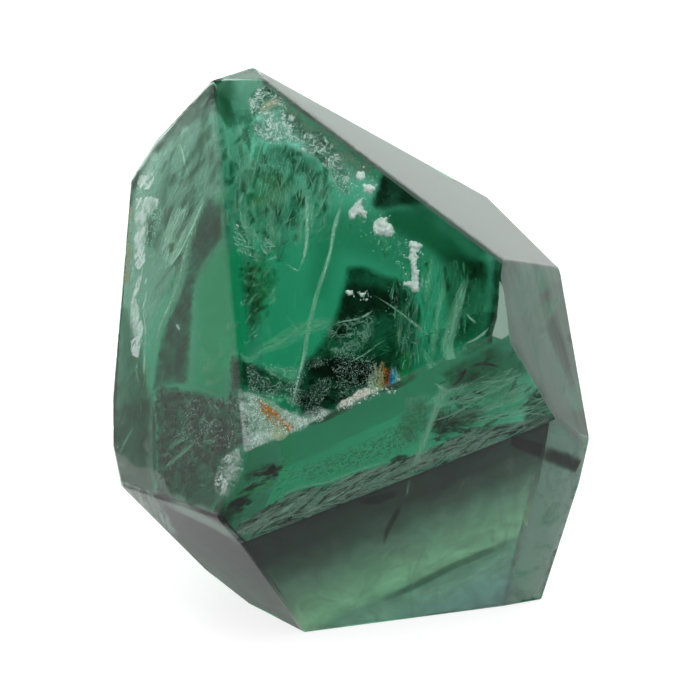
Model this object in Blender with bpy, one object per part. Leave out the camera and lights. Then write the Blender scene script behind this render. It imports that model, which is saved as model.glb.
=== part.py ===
"""A polished fluorite freeform: one stone, ground to flat facets and resting on the widest one below.

Metres, +Z up. The main window, the largest polished face, looks towards -Y and up.
Every facet is set as on a lapidary's chart: the way it faces, and how far it lies from the stone's heart.
"""

import math

import bmesh
import bpy
from mathutils import Matrix, Vector

MM = 0.001

# The rough block that the facets are ground from, and the wear that polishing leaves on the edges.
ROUGH_SIDE = 120.0 * MM
WORN_EDGE_WIDTH = 0.35 * MM
WORN_EDGE_STEPS = 2
HEART_ABOVE_BASE = 31.55 * MM

# Facet chart: azimuth and elevation of the facet's outward normal in degrees, then millimetres from the heart.
# Azimuth 0 faces the front (-Y), 90 the right (+X), 180 the back. Elevation 90 faces straight up.
FRONT_FACETS = {
    "main_window": (-10.5, 40.5, 22.85),
    "roof": (93.0, 60.0, 27.8),
    "left_flank": (-54.0, 22.5, 25.6),
    "right_shoulder": (59.0, 25.0, 32.35),
    "waist_band": (9.0, 4.0, 26.45),
    "lower_window": (14.0, -10.5, 28.0),
    "lower_right": (18.5, -11.0, 29.45),
    "left_undercut": (-43.5, -29.0, 34.85),
    "crown": (-14.5, 66.5, 34.6),
    "right_corner": (42.0, -7.0, 36.15),
    "small_lens": (15.0, 34.5, 29.35),
}
RIGHT_REAR_FACETS = {
    "right_rear_top": (117.0, 19.0, 26.0),
    "right_rear_middle": (108.0, 0.0, 25.05),
    "right_rear_low": (116.0, -7.5, 21.4),
}
LEFT_REAR_FACETS = {
    "left_rear_top": (-154.0, 36.0, 33.65),
    "left_rear_high": (-133.5, 28.0, 37.0),
    "left_rear_middle": (-106.0, -4.5, 31.35),
    "left_rear_low": (-108.5, -15.0, 30.75),
    "left_rear_foot": (-106.5, -34.5, 30.55),
    "left_foot_side": (-92.5, -42.0, 33.3),
    "left_foot_toe": (-71.0, -53.0, 36.6),
}
BACK_FACETS = {
    "back_window": (162.0, 26.0, 20.2),
    "back_low": (178.0, -6.0, 33.0),
    "back_foot_right": (140.0, -28.0, 34.0),
    "back_foot_left": (-150.0, -22.0, 38.0),
}
BASE_FACET = {"base": (0.0, -90.0, HEART_ABOVE_BASE / MM)}
FACETS = {**FRONT_FACETS, **RIGHT_REAR_FACETS, **LEFT_REAR_FACETS, **BACK_FACETS, **BASE_FACET}

# Chips on the worn edges: the two facets that meet there, how far along their edge, and the scoop's
# length along the edge, width and depth in millimetres.
CHIPS = (
    ("left_flank", "left_rear_middle", 0.34, (1.5, 0.8, 0.35)),
    ("left_flank", "left_rear_middle", 0.55, (1.1, 0.7, 0.30)),
    ("left_flank", "left_rear_middle", 0.80, (0.9, 0.6, 0.25)),
    ("left_flank", "left_rear_low", 0.60, (1.2, 0.7, 0.30)),
    ("right_shoulder", "waist_band", 0.70, (1.6, 0.8, 0.35)),
    ("right_shoulder", "waist_band", 0.88, (1.2, 0.7, 0.30)),
    ("right_shoulder", "right_rear_middle", 0.40, (1.0, 0.6, 0.30)),
    ("lower_window", "lower_right", 0.30, (0.9, 0.6, 0.25)),
)


def clear_scene():
    for item in list(bpy.data.objects):
        bpy.data.objects.remove(item, do_unlink=True)


def facing(azimuth, elevation):
    """The unit normal of a facet set at these angles."""
    turn = math.radians(azimuth)
    rise = math.radians(elevation)
    return Vector((math.sin(turn) * math.cos(rise), -math.cos(turn) * math.cos(rise), math.sin(rise)))


def grind_facets(stone):
    """Grinds the block down to each facet in turn, keeping the side that holds the heart."""
    for azimuth, elevation, distance in FACETS.values():
        normal = facing(azimuth, elevation)
        everything = stone.verts[:] + stone.edges[:] + stone.faces[:]
        cut = bmesh.ops.bisect_plane(
            stone, geom=everything, plane_co=normal * distance * MM, plane_no=normal, clear_outer=True
        )
        rim = [item for item in cut["geom_cut"] if isinstance(item, bmesh.types.BMEdge)]
        bmesh.ops.contextual_create(stone, geom=rim)
    bmesh.ops.recalc_face_normals(stone, faces=stone.faces[:])


def edge_between(stone, first, second):
    """The two ends of the edge where these facets meet, upper end first."""
    wanted = [facing(*FACETS[name][:2]) for name in (first, second)]

    def closeness(edge):
        normals = [face.normal for face in edge.link_faces]
        straight = normals[0].dot(wanted[0]) + normals[1].dot(wanted[1])
        crossed = normals[0].dot(wanted[1]) + normals[1].dot(wanted[0])
        return max(straight, crossed)

    edge = max(stone.edges, key=closeness)
    ends = sorted((vert.co.copy() for vert in edge.verts), key=lambda point: -point.z)
    outward = (wanted[0] + wanted[1]).normalized()
    return ends[0], ends[1], outward


def stand_on_base(stone):
    """How to move the stone so that its base lies on z = 0 with its outline centred on the origin."""
    across = [vert.co.x for vert in stone.verts]
    deep = [vert.co.y for vert in stone.verts]
    return Vector((-(min(across) + max(across)) / 2, -(min(deep) + max(deep)) / 2, HEART_ABOVE_BASE))


def fluorite_material():
    material = bpy.data.materials.new("polished_green_fluorite")
    material.use_nodes = True
    shader = material.node_tree.nodes["Principled BSDF"]
    shader.inputs["Base Color"].default_value = (0.05, 0.36, 0.20, 1.0)
    shader.inputs["Roughness"].default_value = 0.04
    shader.inputs["Metallic"].default_value = 0.0
    shader.inputs["IOR"].default_value = 1.434
    material.diffuse_color = (0.05, 0.36, 0.20, 1.0)
    return material


def chip_cutter(name, start, end, outward, along, size, shift):
    """A flattened ball sunk in the edge, which leaves one shell-shaped scoop."""
    length, width, depth = (value * MM for value in size)
    run = (end - start).normalized()
    side = outward.cross(run)
    bpy.ops.mesh.primitive_ico_sphere_add(subdivisions=2, radius=0.5)
    cutter = bpy.context.object
    cutter.name = name
    turn = Matrix((run, side, outward)).transposed().to_4x4()
    scale = Matrix.Diagonal((length, width, 2.0 * depth, 1.0))
    place = Matrix.Translation(start.lerp(end, along) + shift)
    cutter.data.transform(place @ turn @ scale)
    cutter.hide_render = True
    cutter.display_type = "WIRE"
    return cutter


def wear_edges(stone_object):
    """The narrow rounding that polishing leaves where two facets meet."""
    worn = stone_object.modifiers.new("worn edges", "BEVEL")
    worn.width = WORN_EDGE_WIDTH
    worn.segments = WORN_EDGE_STEPS
    worn.limit_method = "ANGLE"
    worn.angle_limit = math.radians(12.0)


def chip_edges(stone_object, edges, shift):
    for number, (first, second, along, size) in enumerate(CHIPS, start=1):
        start, end, outward = edges[first, second]
        cutter = chip_cutter(f"chip_cutter_{number}", start, end, outward, along, size, shift)
        chip = stone_object.modifiers.new(f"chip {number}", "BOOLEAN")
        chip.object = cutter
        chip.operation = "DIFFERENCE"
        chip.solver = "EXACT"


def build_stone():
    stone = bmesh.new()
    bmesh.ops.create_cube(stone, size=ROUGH_SIDE)
    grind_facets(stone)
    edges = {(first, second): edge_between(stone, first, second) for first, second, _, _ in CHIPS}
    shift = stand_on_base(stone)
    bmesh.ops.translate(stone, verts=stone.verts[:], vec=shift)
    mesh = bpy.data.meshes.new("fluorite_freeform")
    stone.to_mesh(mesh)
    stone.free()
    stone_object = bpy.data.objects.new("fluorite_freeform", mesh)
    bpy.context.scene.collection.objects.link(stone_object)
    mesh.materials.append(fluorite_material())
    wear_edges(stone_object)
    chip_edges(stone_object, edges, shift)


clear_scene()
build_stone()
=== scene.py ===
"""The looks of a polished fluorite freeform: clear green crystal with veils, zones, flakes and frost inside.

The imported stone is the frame. What lies inside it is placed by looking into the stone: a spot of the camera's
700 x 700 view, the facet that it is seen through, and how deep behind that facet it lies, in millimetres.
"""

import math
import random

import bpy
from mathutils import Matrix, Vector, geometry, noise
from mathutils.bvhtree import BVHTree


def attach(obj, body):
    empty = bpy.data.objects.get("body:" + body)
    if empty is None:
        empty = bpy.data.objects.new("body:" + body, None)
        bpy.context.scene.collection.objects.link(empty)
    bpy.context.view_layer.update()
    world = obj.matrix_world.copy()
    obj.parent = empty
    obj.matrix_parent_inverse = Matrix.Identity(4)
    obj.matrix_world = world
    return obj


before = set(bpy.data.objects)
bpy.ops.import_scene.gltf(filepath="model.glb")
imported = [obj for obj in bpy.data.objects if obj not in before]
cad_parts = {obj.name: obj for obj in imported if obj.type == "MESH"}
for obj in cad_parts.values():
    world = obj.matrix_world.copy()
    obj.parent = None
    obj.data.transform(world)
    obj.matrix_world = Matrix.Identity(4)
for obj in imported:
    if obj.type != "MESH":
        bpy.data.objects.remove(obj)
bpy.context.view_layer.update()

MM = 0.001
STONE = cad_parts["fluorite_freeform"]
FLUORITE_IOR = 1.434

# The flakes' rag takes its noise from the clock unless a seed is set.
noise.seed_set(1)

# The camera: a 120 mm lens on a 36 mm sensor, 332 mm from the stone's heart and 25 degrees above it.
VIEW_PX = 700
LENS_MM = 120.0
SENSOR_MM = 36.0
FOCAL_PX = LENS_MM / SENSOR_MM * VIEW_PX
VIEW_DISTANCE = 332.0 * MM
VIEW_RISE = math.radians(25.0)
HEART = Vector((0.55, -1.4, 31.55)) * MM
RIGHT = Vector((1.0, 0.0, 0.0))
UP = Vector((0.0, math.sin(VIEW_RISE), math.cos(VIEW_RISE)))
FORWARD = Vector((0.0, math.cos(VIEW_RISE), -math.sin(VIEW_RISE)))
EYE = HEART - FORWARD * VIEW_DISTANCE

# One point of the view, in millimetres at the stone's heart.
PX_MM = VIEW_DISTANCE / FOCAL_PX / MM


# ---------------------------------------------------------------- outlines in the view

ROW_GAP = 0.87         # rows of an even field, in steps
FOLD_SHARE = 0.85      # a drawn-in point closer to the outline than this share of the inset has folded over
MERGE_PX = 1e-4
INSIDE_ONLY = 1        # delaunay_2d_cdt keeps the triangles inside the outline


def points_of(course):
    """The points of a course such as "305,186 306,200". Each may have a width after its place."""
    return [tuple(float(number) for number in point.split(",")) for point in course.split()]


def outline_of(course):
    return [Vector(point) for point in points_of(course)]


def sides_of(outline):
    """Each side of an outline, as its two ends."""
    return zip(outline, outline[1:] + outline[:1])


def box_of(outline):
    """The lowest and the highest corner of the box round an outline."""
    low = Vector((min(spot.x for spot in outline), min(spot.y for spot in outline)))
    high = Vector((max(spot.x for spot in outline), max(spot.y for spot in outline)))
    return low, high


def spot_in(box, pick):
    low, high = box
    return Vector((pick.uniform(low.x, high.x), pick.uniform(low.y, high.y)))


def side_towards(run, place):
    """The direction square to a run, on the side where a place lies."""
    square = Vector((-run.y, run.x))
    return -square if square.dot(place) < 0 else square


def inside_outline(spot, outline):
    crossings = 0
    for start, end in sides_of(outline):
        if (start.y > spot.y) != (end.y > spot.y):
            at = start.x + (spot.y - start.y) / (end.y - start.y) * (end.x - start.x)
            crossings += spot.x < at
    return crossings % 2 == 1


def edge_distance(spot, outline):
    best = math.inf
    for start, end in sides_of(outline):
        share = geometry.intersect_point_line(spot, start, end)[1]
        near = start.lerp(end, min(max(share, 0.0), 1.0))
        best = min(best, (spot - near).length)
    return best


def even_outline(corners, step):
    """The outline with points added so that none is further apart than step."""
    spots = []
    for start, end in sides_of(corners):
        parts = max(1, round((end - start).length / step))
        spots += [start.lerp(end, i / parts) for i in range(parts)]
    return spots


def drawn_in(outline, inset):
    """An evenly spaced outline drawn in, without the points that would fold over."""
    turn = sum(outline[i - 1].x * spot.y - outline[i - 1].y * spot.x for i, spot in enumerate(outline))
    ring = []
    for i, spot in enumerate(outline):
        run = (outline[(i + 1) % len(outline)] - outline[i - 1]).normalized()
        inward = Vector((-run.y, run.x)) if turn > 0 else Vector((run.y, -run.x))
        moved = spot + inward * inset
        if edge_distance(moved, outline) > FOLD_SHARE * inset and inside_outline(moved, outline):
            ring.append(moved)
    return ring


def filled(outline, step, staggered=True):
    """An even field of points inside an outline. Staggered, every second row is half a step aside."""
    low, high = box_of(outline)
    inner = []
    row = 0
    y = low.y
    while y < high.y:
        x = low.x + (step / 2 if staggered and row % 2 else 0.0)
        while x < high.x:
            spot = Vector((x, y))
            if inside_outline(spot, outline) and edge_distance(spot, outline) > step / 2:
                inner.append(spot)
            x += step
        y += step * ROW_GAP if staggered else step
        row += 1
    return inner


def triangulated(outline, inner):
    """The spots and triangles that fill an outline, with points inside it."""
    rim = [(i, (i + 1) % len(outline)) for i in range(len(outline))]
    spots, _, triangles, _, _, _ = geometry.delaunay_2d_cdt(outline + inner, rim, [], INSIDE_ONLY, MERGE_PX)
    return spots, triangles


# ---------------------------------------------------------------- looking into the stone

# A spot of the view on each facet that shows.
FACET_SPOTS = {
    "main_window": (330, 250),
    "left_flank": (180, 300),
    "waist_band": (380, 440),
    "lower_window": (400, 530),
    "lower_right": (550, 520),
    "right_shoulder": (550, 350),
    "roof": (440, 185),
    "left_undercut": (205, 555),
    "crown": (236, 77),
    "right_corner": (585, 450),
}

ON_PLANE = 0.01 * MM      # a corner this close to a facet's plane belongs to the facet
SAME_CORNER_PX = 1.5      # corners of a facet closer than this count as one
PAST_EDGE_PX = 1.5        # how far past its facet's edge a feature may reach
MISS_PX = 3.0             # a spot that misses the stone moves this far towards its facet's own spot
PAST_FACE = 0.05 * MM     # a ray starts this far past the face that it has met
MOST_FACES = 3            # a ray that starts outside the stone meets its near side before its far side
ROOM_SHARE = 0.92         # nothing lies deeper than this share of the way to the stone's far side
SOFT_POWER = -4           # of the soft minimum that sees to it
COVER_MM = 0.12           # the least crystal over a feature


def sight(px, py):
    """The direction of the view through a spot."""
    across = (px - VIEW_PX / 2) / FOCAL_PX
    down = (py - VIEW_PX / 2) / FOCAL_PX
    return (FORWARD + RIGHT * across - UP * down).normalized()


def in_view(point):
    """Where a point in space shows in the view."""
    ray = point - EYE
    scale = FOCAL_PX / ray.dot(FORWARD)
    return Vector((VIEW_PX / 2 + ray.dot(RIGHT) * scale, VIEW_PX / 2 - ray.dot(UP) * scale))


def stone_tree():
    points = [vert.co.copy() for vert in STONE.data.vertices]
    faces = [tuple(face.vertices) for face in STONE.data.polygons]
    return BVHTree.FromPolygons(points, faces)


STONE_TREE = stone_tree()


def facet_plane(px, py):
    """A point on the facet seen there, and its outward normal."""
    point, normal, _, _ = STONE_TREE.ray_cast(EYE, sight(px, py))
    return point, normal


FACETS = {name: facet_plane(*spot) for name, spot in FACET_SPOTS.items()}


def facet_axes(facet):
    """Level and uphill directions in a facet's plane."""
    _, normal = FACETS[facet]
    level = Vector((0.0, 0.0, 1.0)).cross(normal).normalized()
    return level, normal.cross(level)


def facet_outline(facet, past):
    """The outline of a whole facet in the view, drawn this many points past its edge."""
    origin, normal = FACETS[facet]
    spots = [in_view(v.co) for v in STONE.data.vertices if abs((v.co - origin).dot(normal)) < ON_PLANE]
    hull = [spots[i] for i in geometry.convex_hull_2d(spots)]
    middle = sum(hull, Vector((0.0, 0.0))) / len(hull)
    corners = [spot for i, spot in enumerate(hull) if (spot - hull[i - 1]).length > SAME_CORNER_PX]
    outline = []
    for i, spot in enumerate(corners):
        run = corners[(i + 1) % len(corners)] - corners[i - 1]
        outline.append(spot - side_towards(run, middle - spot).normalized() * past)
    return outline


FACET_OUTLINES = {name: facet_outline(name, PAST_EDGE_PX) for name in FACETS}


def within_facet(facet, corners):
    """The part of an outline that lies over a facet."""
    edge = FACET_OUTLINES[facet]
    middle = sum(edge, Vector((0.0, 0.0))) / len(edge)
    kept = corners
    for start, end in sides_of(edge):
        inward = side_towards(end - start, middle - start)
        clipped = []
        for i, spot in enumerate(kept):
            here = inward.dot(spot - start)
            there = inward.dot(kept[i - 1] - start)
            if (here > 0) != (there > 0):
                clipped.append(kept[i - 1].lerp(spot, there / (there - here)))
            if here > 0:
                clipped.append(spot)
        kept = clipped
    return kept


def bent(direction, normal):
    """The view after it enters the crystal, by Snell's law."""
    ratio = 1.0 / FLUORITE_IOR
    facing = -direction.dot(normal)
    inside = math.sqrt(1.0 - ratio * ratio * (1.0 - facing * facing))
    return (direction * ratio + normal * (ratio * facing - inside)).normalized()


def behind(facet, spot, depth):
    """The point seen at this spot through this facet, this many millimetres behind it.

    It stops short of the stone's far side. A soft minimum of the two distances keeps a deep sheet smooth.
    """
    point, normal = FACETS[facet]
    px, py = spot
    if STONE_TREE.ray_cast(EYE, sight(px, py))[0] is None:
        aside = (Vector(FACET_SPOTS[facet]) - Vector((px, py))).normalized() * MISS_PX
        px += aside.x
        py += aside.y
    ray = sight(px, py)
    entry = EYE + ray * ((point - EYE).dot(normal) / ray.dot(normal))
    inward = bent(ray, normal)
    run = depth * MM / -inward.dot(normal)
    reach = PAST_FACE
    for _ in range(MOST_FACES):
        _, side, _, room = STONE_TREE.ray_cast(entry + inward * reach, inward)
        if room is None:
            break
        reach += room
        if side.dot(inward) > 0:
            run = (run ** SOFT_POWER + (ROOM_SHARE * reach) ** SOFT_POWER) ** (1 / SOFT_POWER)
            break
        reach += PAST_FACE
    return entry + inward * run


def buried(facet, spot, depth, cover=COVER_MM):
    """The point behind a facet, moved in where it has less crystal over it than cover, in millimetres."""
    point = behind(facet, spot, depth)
    near, normal, _, _ = STONE_TREE.find_nearest(point)
    if (near - point).dot(normal) < cover * MM:
        return near - normal * cover * MM
    return point


# ---------------------------------------------------------------- meshes

# Lengths that end in PX are points of the view, and those that end in MM are millimetres. A layer is how far
# apart the seeds' places lie in a noise.
SHEET_WAVE_MM = 0.3
SHEET_WAVE_SCALE = 0.03
SHEET_LAYER = 37.0
SHEET_LEAST_DEPTH_MM = 0.15

CURVE_STEP_PX = 2.0
TAPER = 4.0                           # a strand thins out over its first and its last quarter
STRAND_COLUMNS = (-1.0, -0.5, 0.0, 0.5, 1.0)
THREAD_COLUMNS = (-1.0, 0.0, 1.0)

THREAD_TRIES = 40
THREAD_STEP_PX = 4.0
THREAD_LEAST_STEPS = 3
THREAD_SWAY_PX = 30.0                 # neighbouring threads sway together over this distance
THREAD_SWAY = 1.2                     # how far they sway, in spreads
THREAD_LAYER = 13.0
THREAD_BEND = 0.5                     # how much a thread bends, in spreads, over
THREAD_BEND_PX = 10.0                 # this distance
THREAD_LENGTH_BIAS = 1.6              # above 1, most are nearer the shortest
THREAD_STRENGTHS = (0.4, 1.0)
THREAD_TIP = 0.35                     # width at a thread's ends, as a share of its middle

FLAKE_STEP_PX = 1.1
FLAKE_RAG_PX = 2.0
FLAKE_RAG_SCALE = 0.45
FLAKE_RAG_LAYER = 11.0
FLAKE_LUMP_SCALE = 0.25
FLAKE_LUMP_LAYER = 5.0
FLAKE_LUMPS = (0.75, 0.6)             # a flake's mean rise and how far its lumps go from that
FLAKE_SHOULDER_PX = 3.0               # its face rises to its full height over this distance
FLAKE_LEAST_DEPTH_MM = 0.2
ON_RIM_PX = 1e-3

SPECK_TRIES = 60
SPECK_SIZE_BIAS = 2.2
SPECK_LAYER = 9.0
SPECK_EDGE_PX = 5.0                   # specks thin out over this distance from their outline
SPECK_STRAYS = 0.15                   # and this share of them is left at it
SPECK_COVER_MM = 0.3
SPECK_WIDTH = 0.8                     # a speck's second and third axis, as shares of its first
SPECK_FLATNESS = 0.45
SPECK_FACES = ((0, 2, 4), (2, 1, 4), (1, 3, 4), (3, 0, 4), (2, 0, 5), (1, 2, 5), (3, 1, 5), (0, 3, 5))


def new_piece(name, points, faces, material, smooth=True):
    mesh = bpy.data.meshes.new(name)
    mesh.from_pydata(points, [], faces)
    mesh.polygons.foreach_set("use_smooth", [smooth] * len(mesh.polygons))
    mesh.materials.append(material)
    piece = bpy.data.objects.new(name, mesh)
    bpy.context.scene.collection.objects.link(piece)
    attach(piece, "root")
    return piece


def note_for_looks(piece, fades, grains):
    """Notes at each point how much of the piece is left there, and its place in millimetres."""
    piece.data.attributes.new("fade", "FLOAT", "POINT").data.foreach_set("value", fades)
    piece.data.attributes.new("grain", "FLOAT_VECTOR", "POINT").data.foreach_set("vector", grains)


def layer(spot, seed, apart):
    """A spot's place in the noise, in its seed's own layer."""
    return Vector((spot.x, spot.y, apart * seed))


def lumps(place, octaves):
    """Noise in which each finer octave is half as large and half as strong."""
    return noise.fractal(place, 1.0, 2.0, octaves)


def between(pick, ends, bias):
    """A number between two, mostly nearer the first."""
    return ends[0] + (ends[1] - ends[0]) * pick.uniform(0.0, 1.0) ** bias


def sheet(name, facet, corners, depth, material, step, fade, seed,
          wave=SHEET_WAVE_MM, cover=COVER_MM, whole=False):
    """A thin sheet, some millimetres behind a facet and within an outline of the view.

    It stands for a healed crack, a veil, the face of a colour zone or a sheet of painted shade. It fades out
    towards its outline over fade points, but ends at the facet's edge without fading. A whole one isn't cut
    to the facet.
    """
    drawn = even_outline(corners, step)
    outline = drawn if whole else even_outline(within_facet(facet, corners), step)
    inner = filled(outline, step)
    if fade:
        inner += [spot for spot in drawn_in(drawn, fade) if inside_outline(spot, outline)]
    spots, triangles = triangulated(outline, inner)
    points = []
    fades = []
    grains = []
    level, uphill = facet_axes(facet)
    for spot in spots:
        ripple = lumps(layer(spot, seed, SHEET_LAYER) * SHEET_WAVE_SCALE, octaves=3) * wave
        point = buried(facet, spot, max(depth + ripple, SHEET_LEAST_DEPTH_MM), cover)
        points.append(point)
        fades.append(min(1.0, edge_distance(spot, drawn) / fade) if fade else 1.0)
        grains += [(point - HEART).dot(level) / MM, (point - HEART).dot(uphill) / MM, float(seed)]
    piece = new_piece(name, points, triangles, material)
    note_for_looks(piece, fades, grains)
    return piece


def curve_through(course):
    """A smooth curve through a course: evenly spaced spots, each with its width."""
    points = points_of(course)
    widths = [width for _, _, width in points]
    spots = [Vector((x, y)) for x, y, _ in points]
    spots = [spots[0] * 2 - spots[1]] + spots + [spots[-1] * 2 - spots[-2]]
    run = []
    for i in range(len(points) - 1):
        a, b, c, d = spots[i:i + 4]
        parts = max(1, round((c - b).length / CURVE_STEP_PX))
        for j in range(parts):
            t = j / parts
            bow = (a * 2 - b * 5 + c * 4 - d) * t * t + (b * 3 - a - c * 3 + d) * t ** 3
            run.append((b + ((c - a) * t + bow) / 2, widths[i] + (widths[i + 1] - widths[i]) * t))
    run.append((spots[-2], widths[-1]))
    return run


def taper_at(share):
    """How much of a strand is left at this share of its length."""
    return min(1.0, TAPER * share, TAPER * (1.0 - share))


def ribbon(facet, run, depth, made, columns, strength=1.0):
    """Adds a strip that thins out to its sides and ends to what is made so far."""
    points, faces, fades, grains = made
    first = len(points)
    wide = len(columns)
    last = len(run) - 1
    gone = 0.0
    for i, (spot, width, taper) in enumerate(run):
        before = run[max(i - 1, 0)][0]
        ahead = (run[min(i + 1, last)][0] - before).normalized()
        gone += (spot - before).length
        for column in columns:
            aside = spot + Vector((-ahead.y, ahead.x)) * column * width / 2
            points.append(buried(facet, aside, depth))
            fades.append((1.0 - column * column) * taper * strength)
            grains += [column * width / 2 * PX_MM, gone * PX_MM, float(first)]
    for i in range(last):
        for j in range(wide - 1):
            corner = first + i * wide + j
            faces.append((corner, corner + 1, corner + wide + 1, corner + wide))


def ribbons_piece(name, made, material):
    points, faces, fades, grains = made
    note_for_looks(new_piece(name, points, faces, material), fades, grains)


def strand(name, facet, course, depth, material):
    """A thin healed crack seen nearly edge on, as a soft line."""
    edge = FACET_OUTLINES[facet]
    curve = curve_through(course)
    run = [(spot, width, taper_at(i / (len(curve) - 1))) for i, (spot, width) in enumerate(curve)
           if inside_outline(spot, edge)]
    made = ([], [], [], [])
    ribbon(facet, run, depth, made, STRAND_COLUMNS)
    ribbons_piece(name, made, material)


def thread(spot, angle, bend, length, width, outline):
    """One thread's run from a spot, until it leaves the outline."""
    steps = max(THREAD_LEAST_STEPS, round(length / THREAD_STEP_PX))
    run = []
    for i in range(steps + 1):
        if not inside_outline(spot, outline):
            break
        swell = THREAD_TIP + (1.0 - THREAD_TIP) * math.sin(math.pi * i / steps)
        run.append((spot, width * swell, taper_at(i / steps)))
        angle += bend * length / steps
        spot = spot + Vector((math.cos(angle), -math.sin(angle))) * length / steps
    return run


def filaments(name, facet, corners, count, lean, spread, lengths, widths, depths, material, seed):
    """Many fine healed cracks in one mesh, combed one way, in degrees up from level, with some stray."""
    pick = random.Random(seed)
    outline = within_facet(facet, corners)
    box = box_of(outline)
    made = ([], [], [], [])
    for _ in range(count):
        spot = spot_in(box, pick)
        for _ in range(THREAD_TRIES):
            if inside_outline(spot, outline):
                break
            spot = spot_in(box, pick)
        sway = noise.noise(layer(spot, seed, THREAD_LAYER) / THREAD_SWAY_PX)
        angle = math.radians(lean + pick.gauss(0.0, spread) + THREAD_SWAY * spread * sway)
        length = between(pick, lengths, THREAD_LENGTH_BIAS)
        width = pick.uniform(*widths)
        depth = pick.uniform(*depths)
        strength = pick.uniform(*THREAD_STRENGTHS)
        bend = math.radians(pick.gauss(0.0, THREAD_BEND * spread)) / THREAD_BEND_PX
        run = thread(spot, angle, bend, length, width, outline)
        if len(run) >= THREAD_LEAST_STEPS:
            ribbon(facet, run, depth, made, THREAD_COLUMNS, strength)
    ribbons_piece(name, made, material)


def flake(name, facet, corners, depth, thickness, material, seed):
    """A closed chalky flake with a lumpy face and a ragged outline, seen through a facet."""
    outline = []
    for spot in even_outline(corners, FLAKE_STEP_PX):
        place = (spot.x * FLAKE_RAG_SCALE, spot.y * FLAKE_RAG_SCALE, FLAKE_RAG_LAYER * seed)
        push = noise.noise_vector(Vector(place))
        outline.append(spot + Vector((push.x, push.y)) * FLAKE_RAG_PX)
    spots, triangles = triangulated(outline, filled(outline, FLAKE_STEP_PX, staggered=False))
    on_rim = [edge_distance(spot, outline) < ON_RIM_PX for spot in spots]
    mean, sway = FLAKE_LUMPS
    points = []
    for spot, rim in zip(spots, on_rim):
        lump = mean + sway * lumps(layer(spot, seed, FLAKE_LUMP_LAYER) * FLAKE_LUMP_SCALE, octaves=4)
        shoulder = min(1.0, (edge_distance(spot, outline) / FLAKE_SHOULDER_PX) ** 0.5)
        rise = 0.0 if rim else thickness / 2 * lump * shoulder
        points.append(buried(facet, spot, max(depth - rise, FLAKE_LEAST_DEPTH_MM)))
    below = {}
    for i, (spot, rim) in enumerate(zip(spots, on_rim)):
        below[i] = i if rim else len(points)
        if not rim:
            points.append(buried(facet, spot, depth + thickness / 2))
    upper = [tuple(triangle) for triangle in triangles if not all(on_rim[i] for i in triangle)]
    lower = [tuple(below[i] for i in reversed(triangle)) for triangle in upper]
    new_piece(name, points, upper + lower, material)


def specks(name, facet, outline, count, depths, sizes, material, seed, patchy, patch_px):
    """Many tiny crystals joined in one mesh: sugar frost, bright dots or dark grains."""
    pick = random.Random(seed)
    box = box_of(outline)
    points = []
    faces = []
    made = 0
    tries = 0
    while made < count and tries < SPECK_TRIES * count:
        tries += 1
        spot = spot_in(box, pick)
        half = between(pick, sizes, SPECK_SIZE_BIAS) * MM / 2
        depth = pick.uniform(*depths)
        turn = Vector((pick.gauss(0, 1), pick.gauss(0, 1), pick.gauss(0, 1))).normalized()
        if not inside_outline(spot, outline):
            continue
        patch = 0.5 + lumps(layer(spot, seed, SPECK_LAYER) / patch_px, octaves=3)
        left = min(1.0, edge_distance(spot, outline) / SPECK_EDGE_PX) + SPECK_STRAYS
        if pick.uniform(0.0, 1.0) > left or patch < patchy:
            continue
        centre = buried(facet, spot, depth, SPECK_COVER_MM)
        side = turn.orthogonal().normalized()
        axes = (side * half, turn.cross(side) * half * SPECK_WIDTH, turn * half * SPECK_FLATNESS)
        first = len(points)
        for axis in axes:
            points += [centre + axis, centre - axis]
        faces += [tuple(first + i for i in face) for face in SPECK_FACES]
        made += 1
    new_piece(name, points, faces, material, smooth=False)


# ---------------------------------------------------------------- materials

SMOOTH = {"interpolation_type": "SMOOTHSTEP"}
TIMES = {"operation": "MULTIPLY"}
PLUS = {"operation": "ADD"}
TIMES_PLUS = {"operation": "MULTIPLY_ADD"}
COLOURS = {"data_type": "RGBA"}
FADE = {"attribute_name": "fade"}
ACROSS = {"attribute_name": "across"}
GRAIN = {"attribute_name": "grain"}

# Sizes of patterns, in millimetres: the lap leaves nine waves in 100 mm, and scratches far finer than that,
# drawn as coarse as they need to show.
POLISH_WAVE_MM = 100 / 9
POLISH_SCRATCH_MM = 0.4
CHALK_GRAIN_MM = 5 / 9
VEIL_GRIT_MM = 0.2
CRACK_GRIT_MM = 0.25
ZONE_CLOUD_MM = 100 / 12
ZONE_CURL_MM = 4.0

# How far colour zones wander, as a share of their whole run.
ZONE_DRIFT = 0.05


def linear(code):
    """An sRGB hex colour as linear light."""
    channels = [int(code[i:i + 2], 16) / 255.0 for i in (1, 3, 5)]
    return tuple(c / 12.92 if c <= 0.04045 else ((c + 0.055) / 1.055) ** 2.4 for c in channels) + (1.0,)


WHITE = linear("#ffffff")


def node(tree, kind, settings=None, **inputs):
    """Adds a node: its settings, then its inputs, linked or set, by name or numbered as i0, i1 and on."""
    made = tree.nodes.new(kind)
    for key, value in (settings or {}).items():
        setattr(made, key, value)
    for key, value in inputs.items():
        numbered = key[0] == "i" and key[1:].isdigit()
        socket = made.inputs[int(key[1:])] if numbered else made.inputs[key.replace("_", " ")]
        if isinstance(value, bpy.types.NodeSocket):
            tree.links.new(value, socket)
        else:
            socket.default_value = value
    return made


def new_material(name):
    material = bpy.data.materials.new(name)
    material.use_nodes = True
    material.node_tree.nodes.clear()
    return material, material.node_tree


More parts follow.
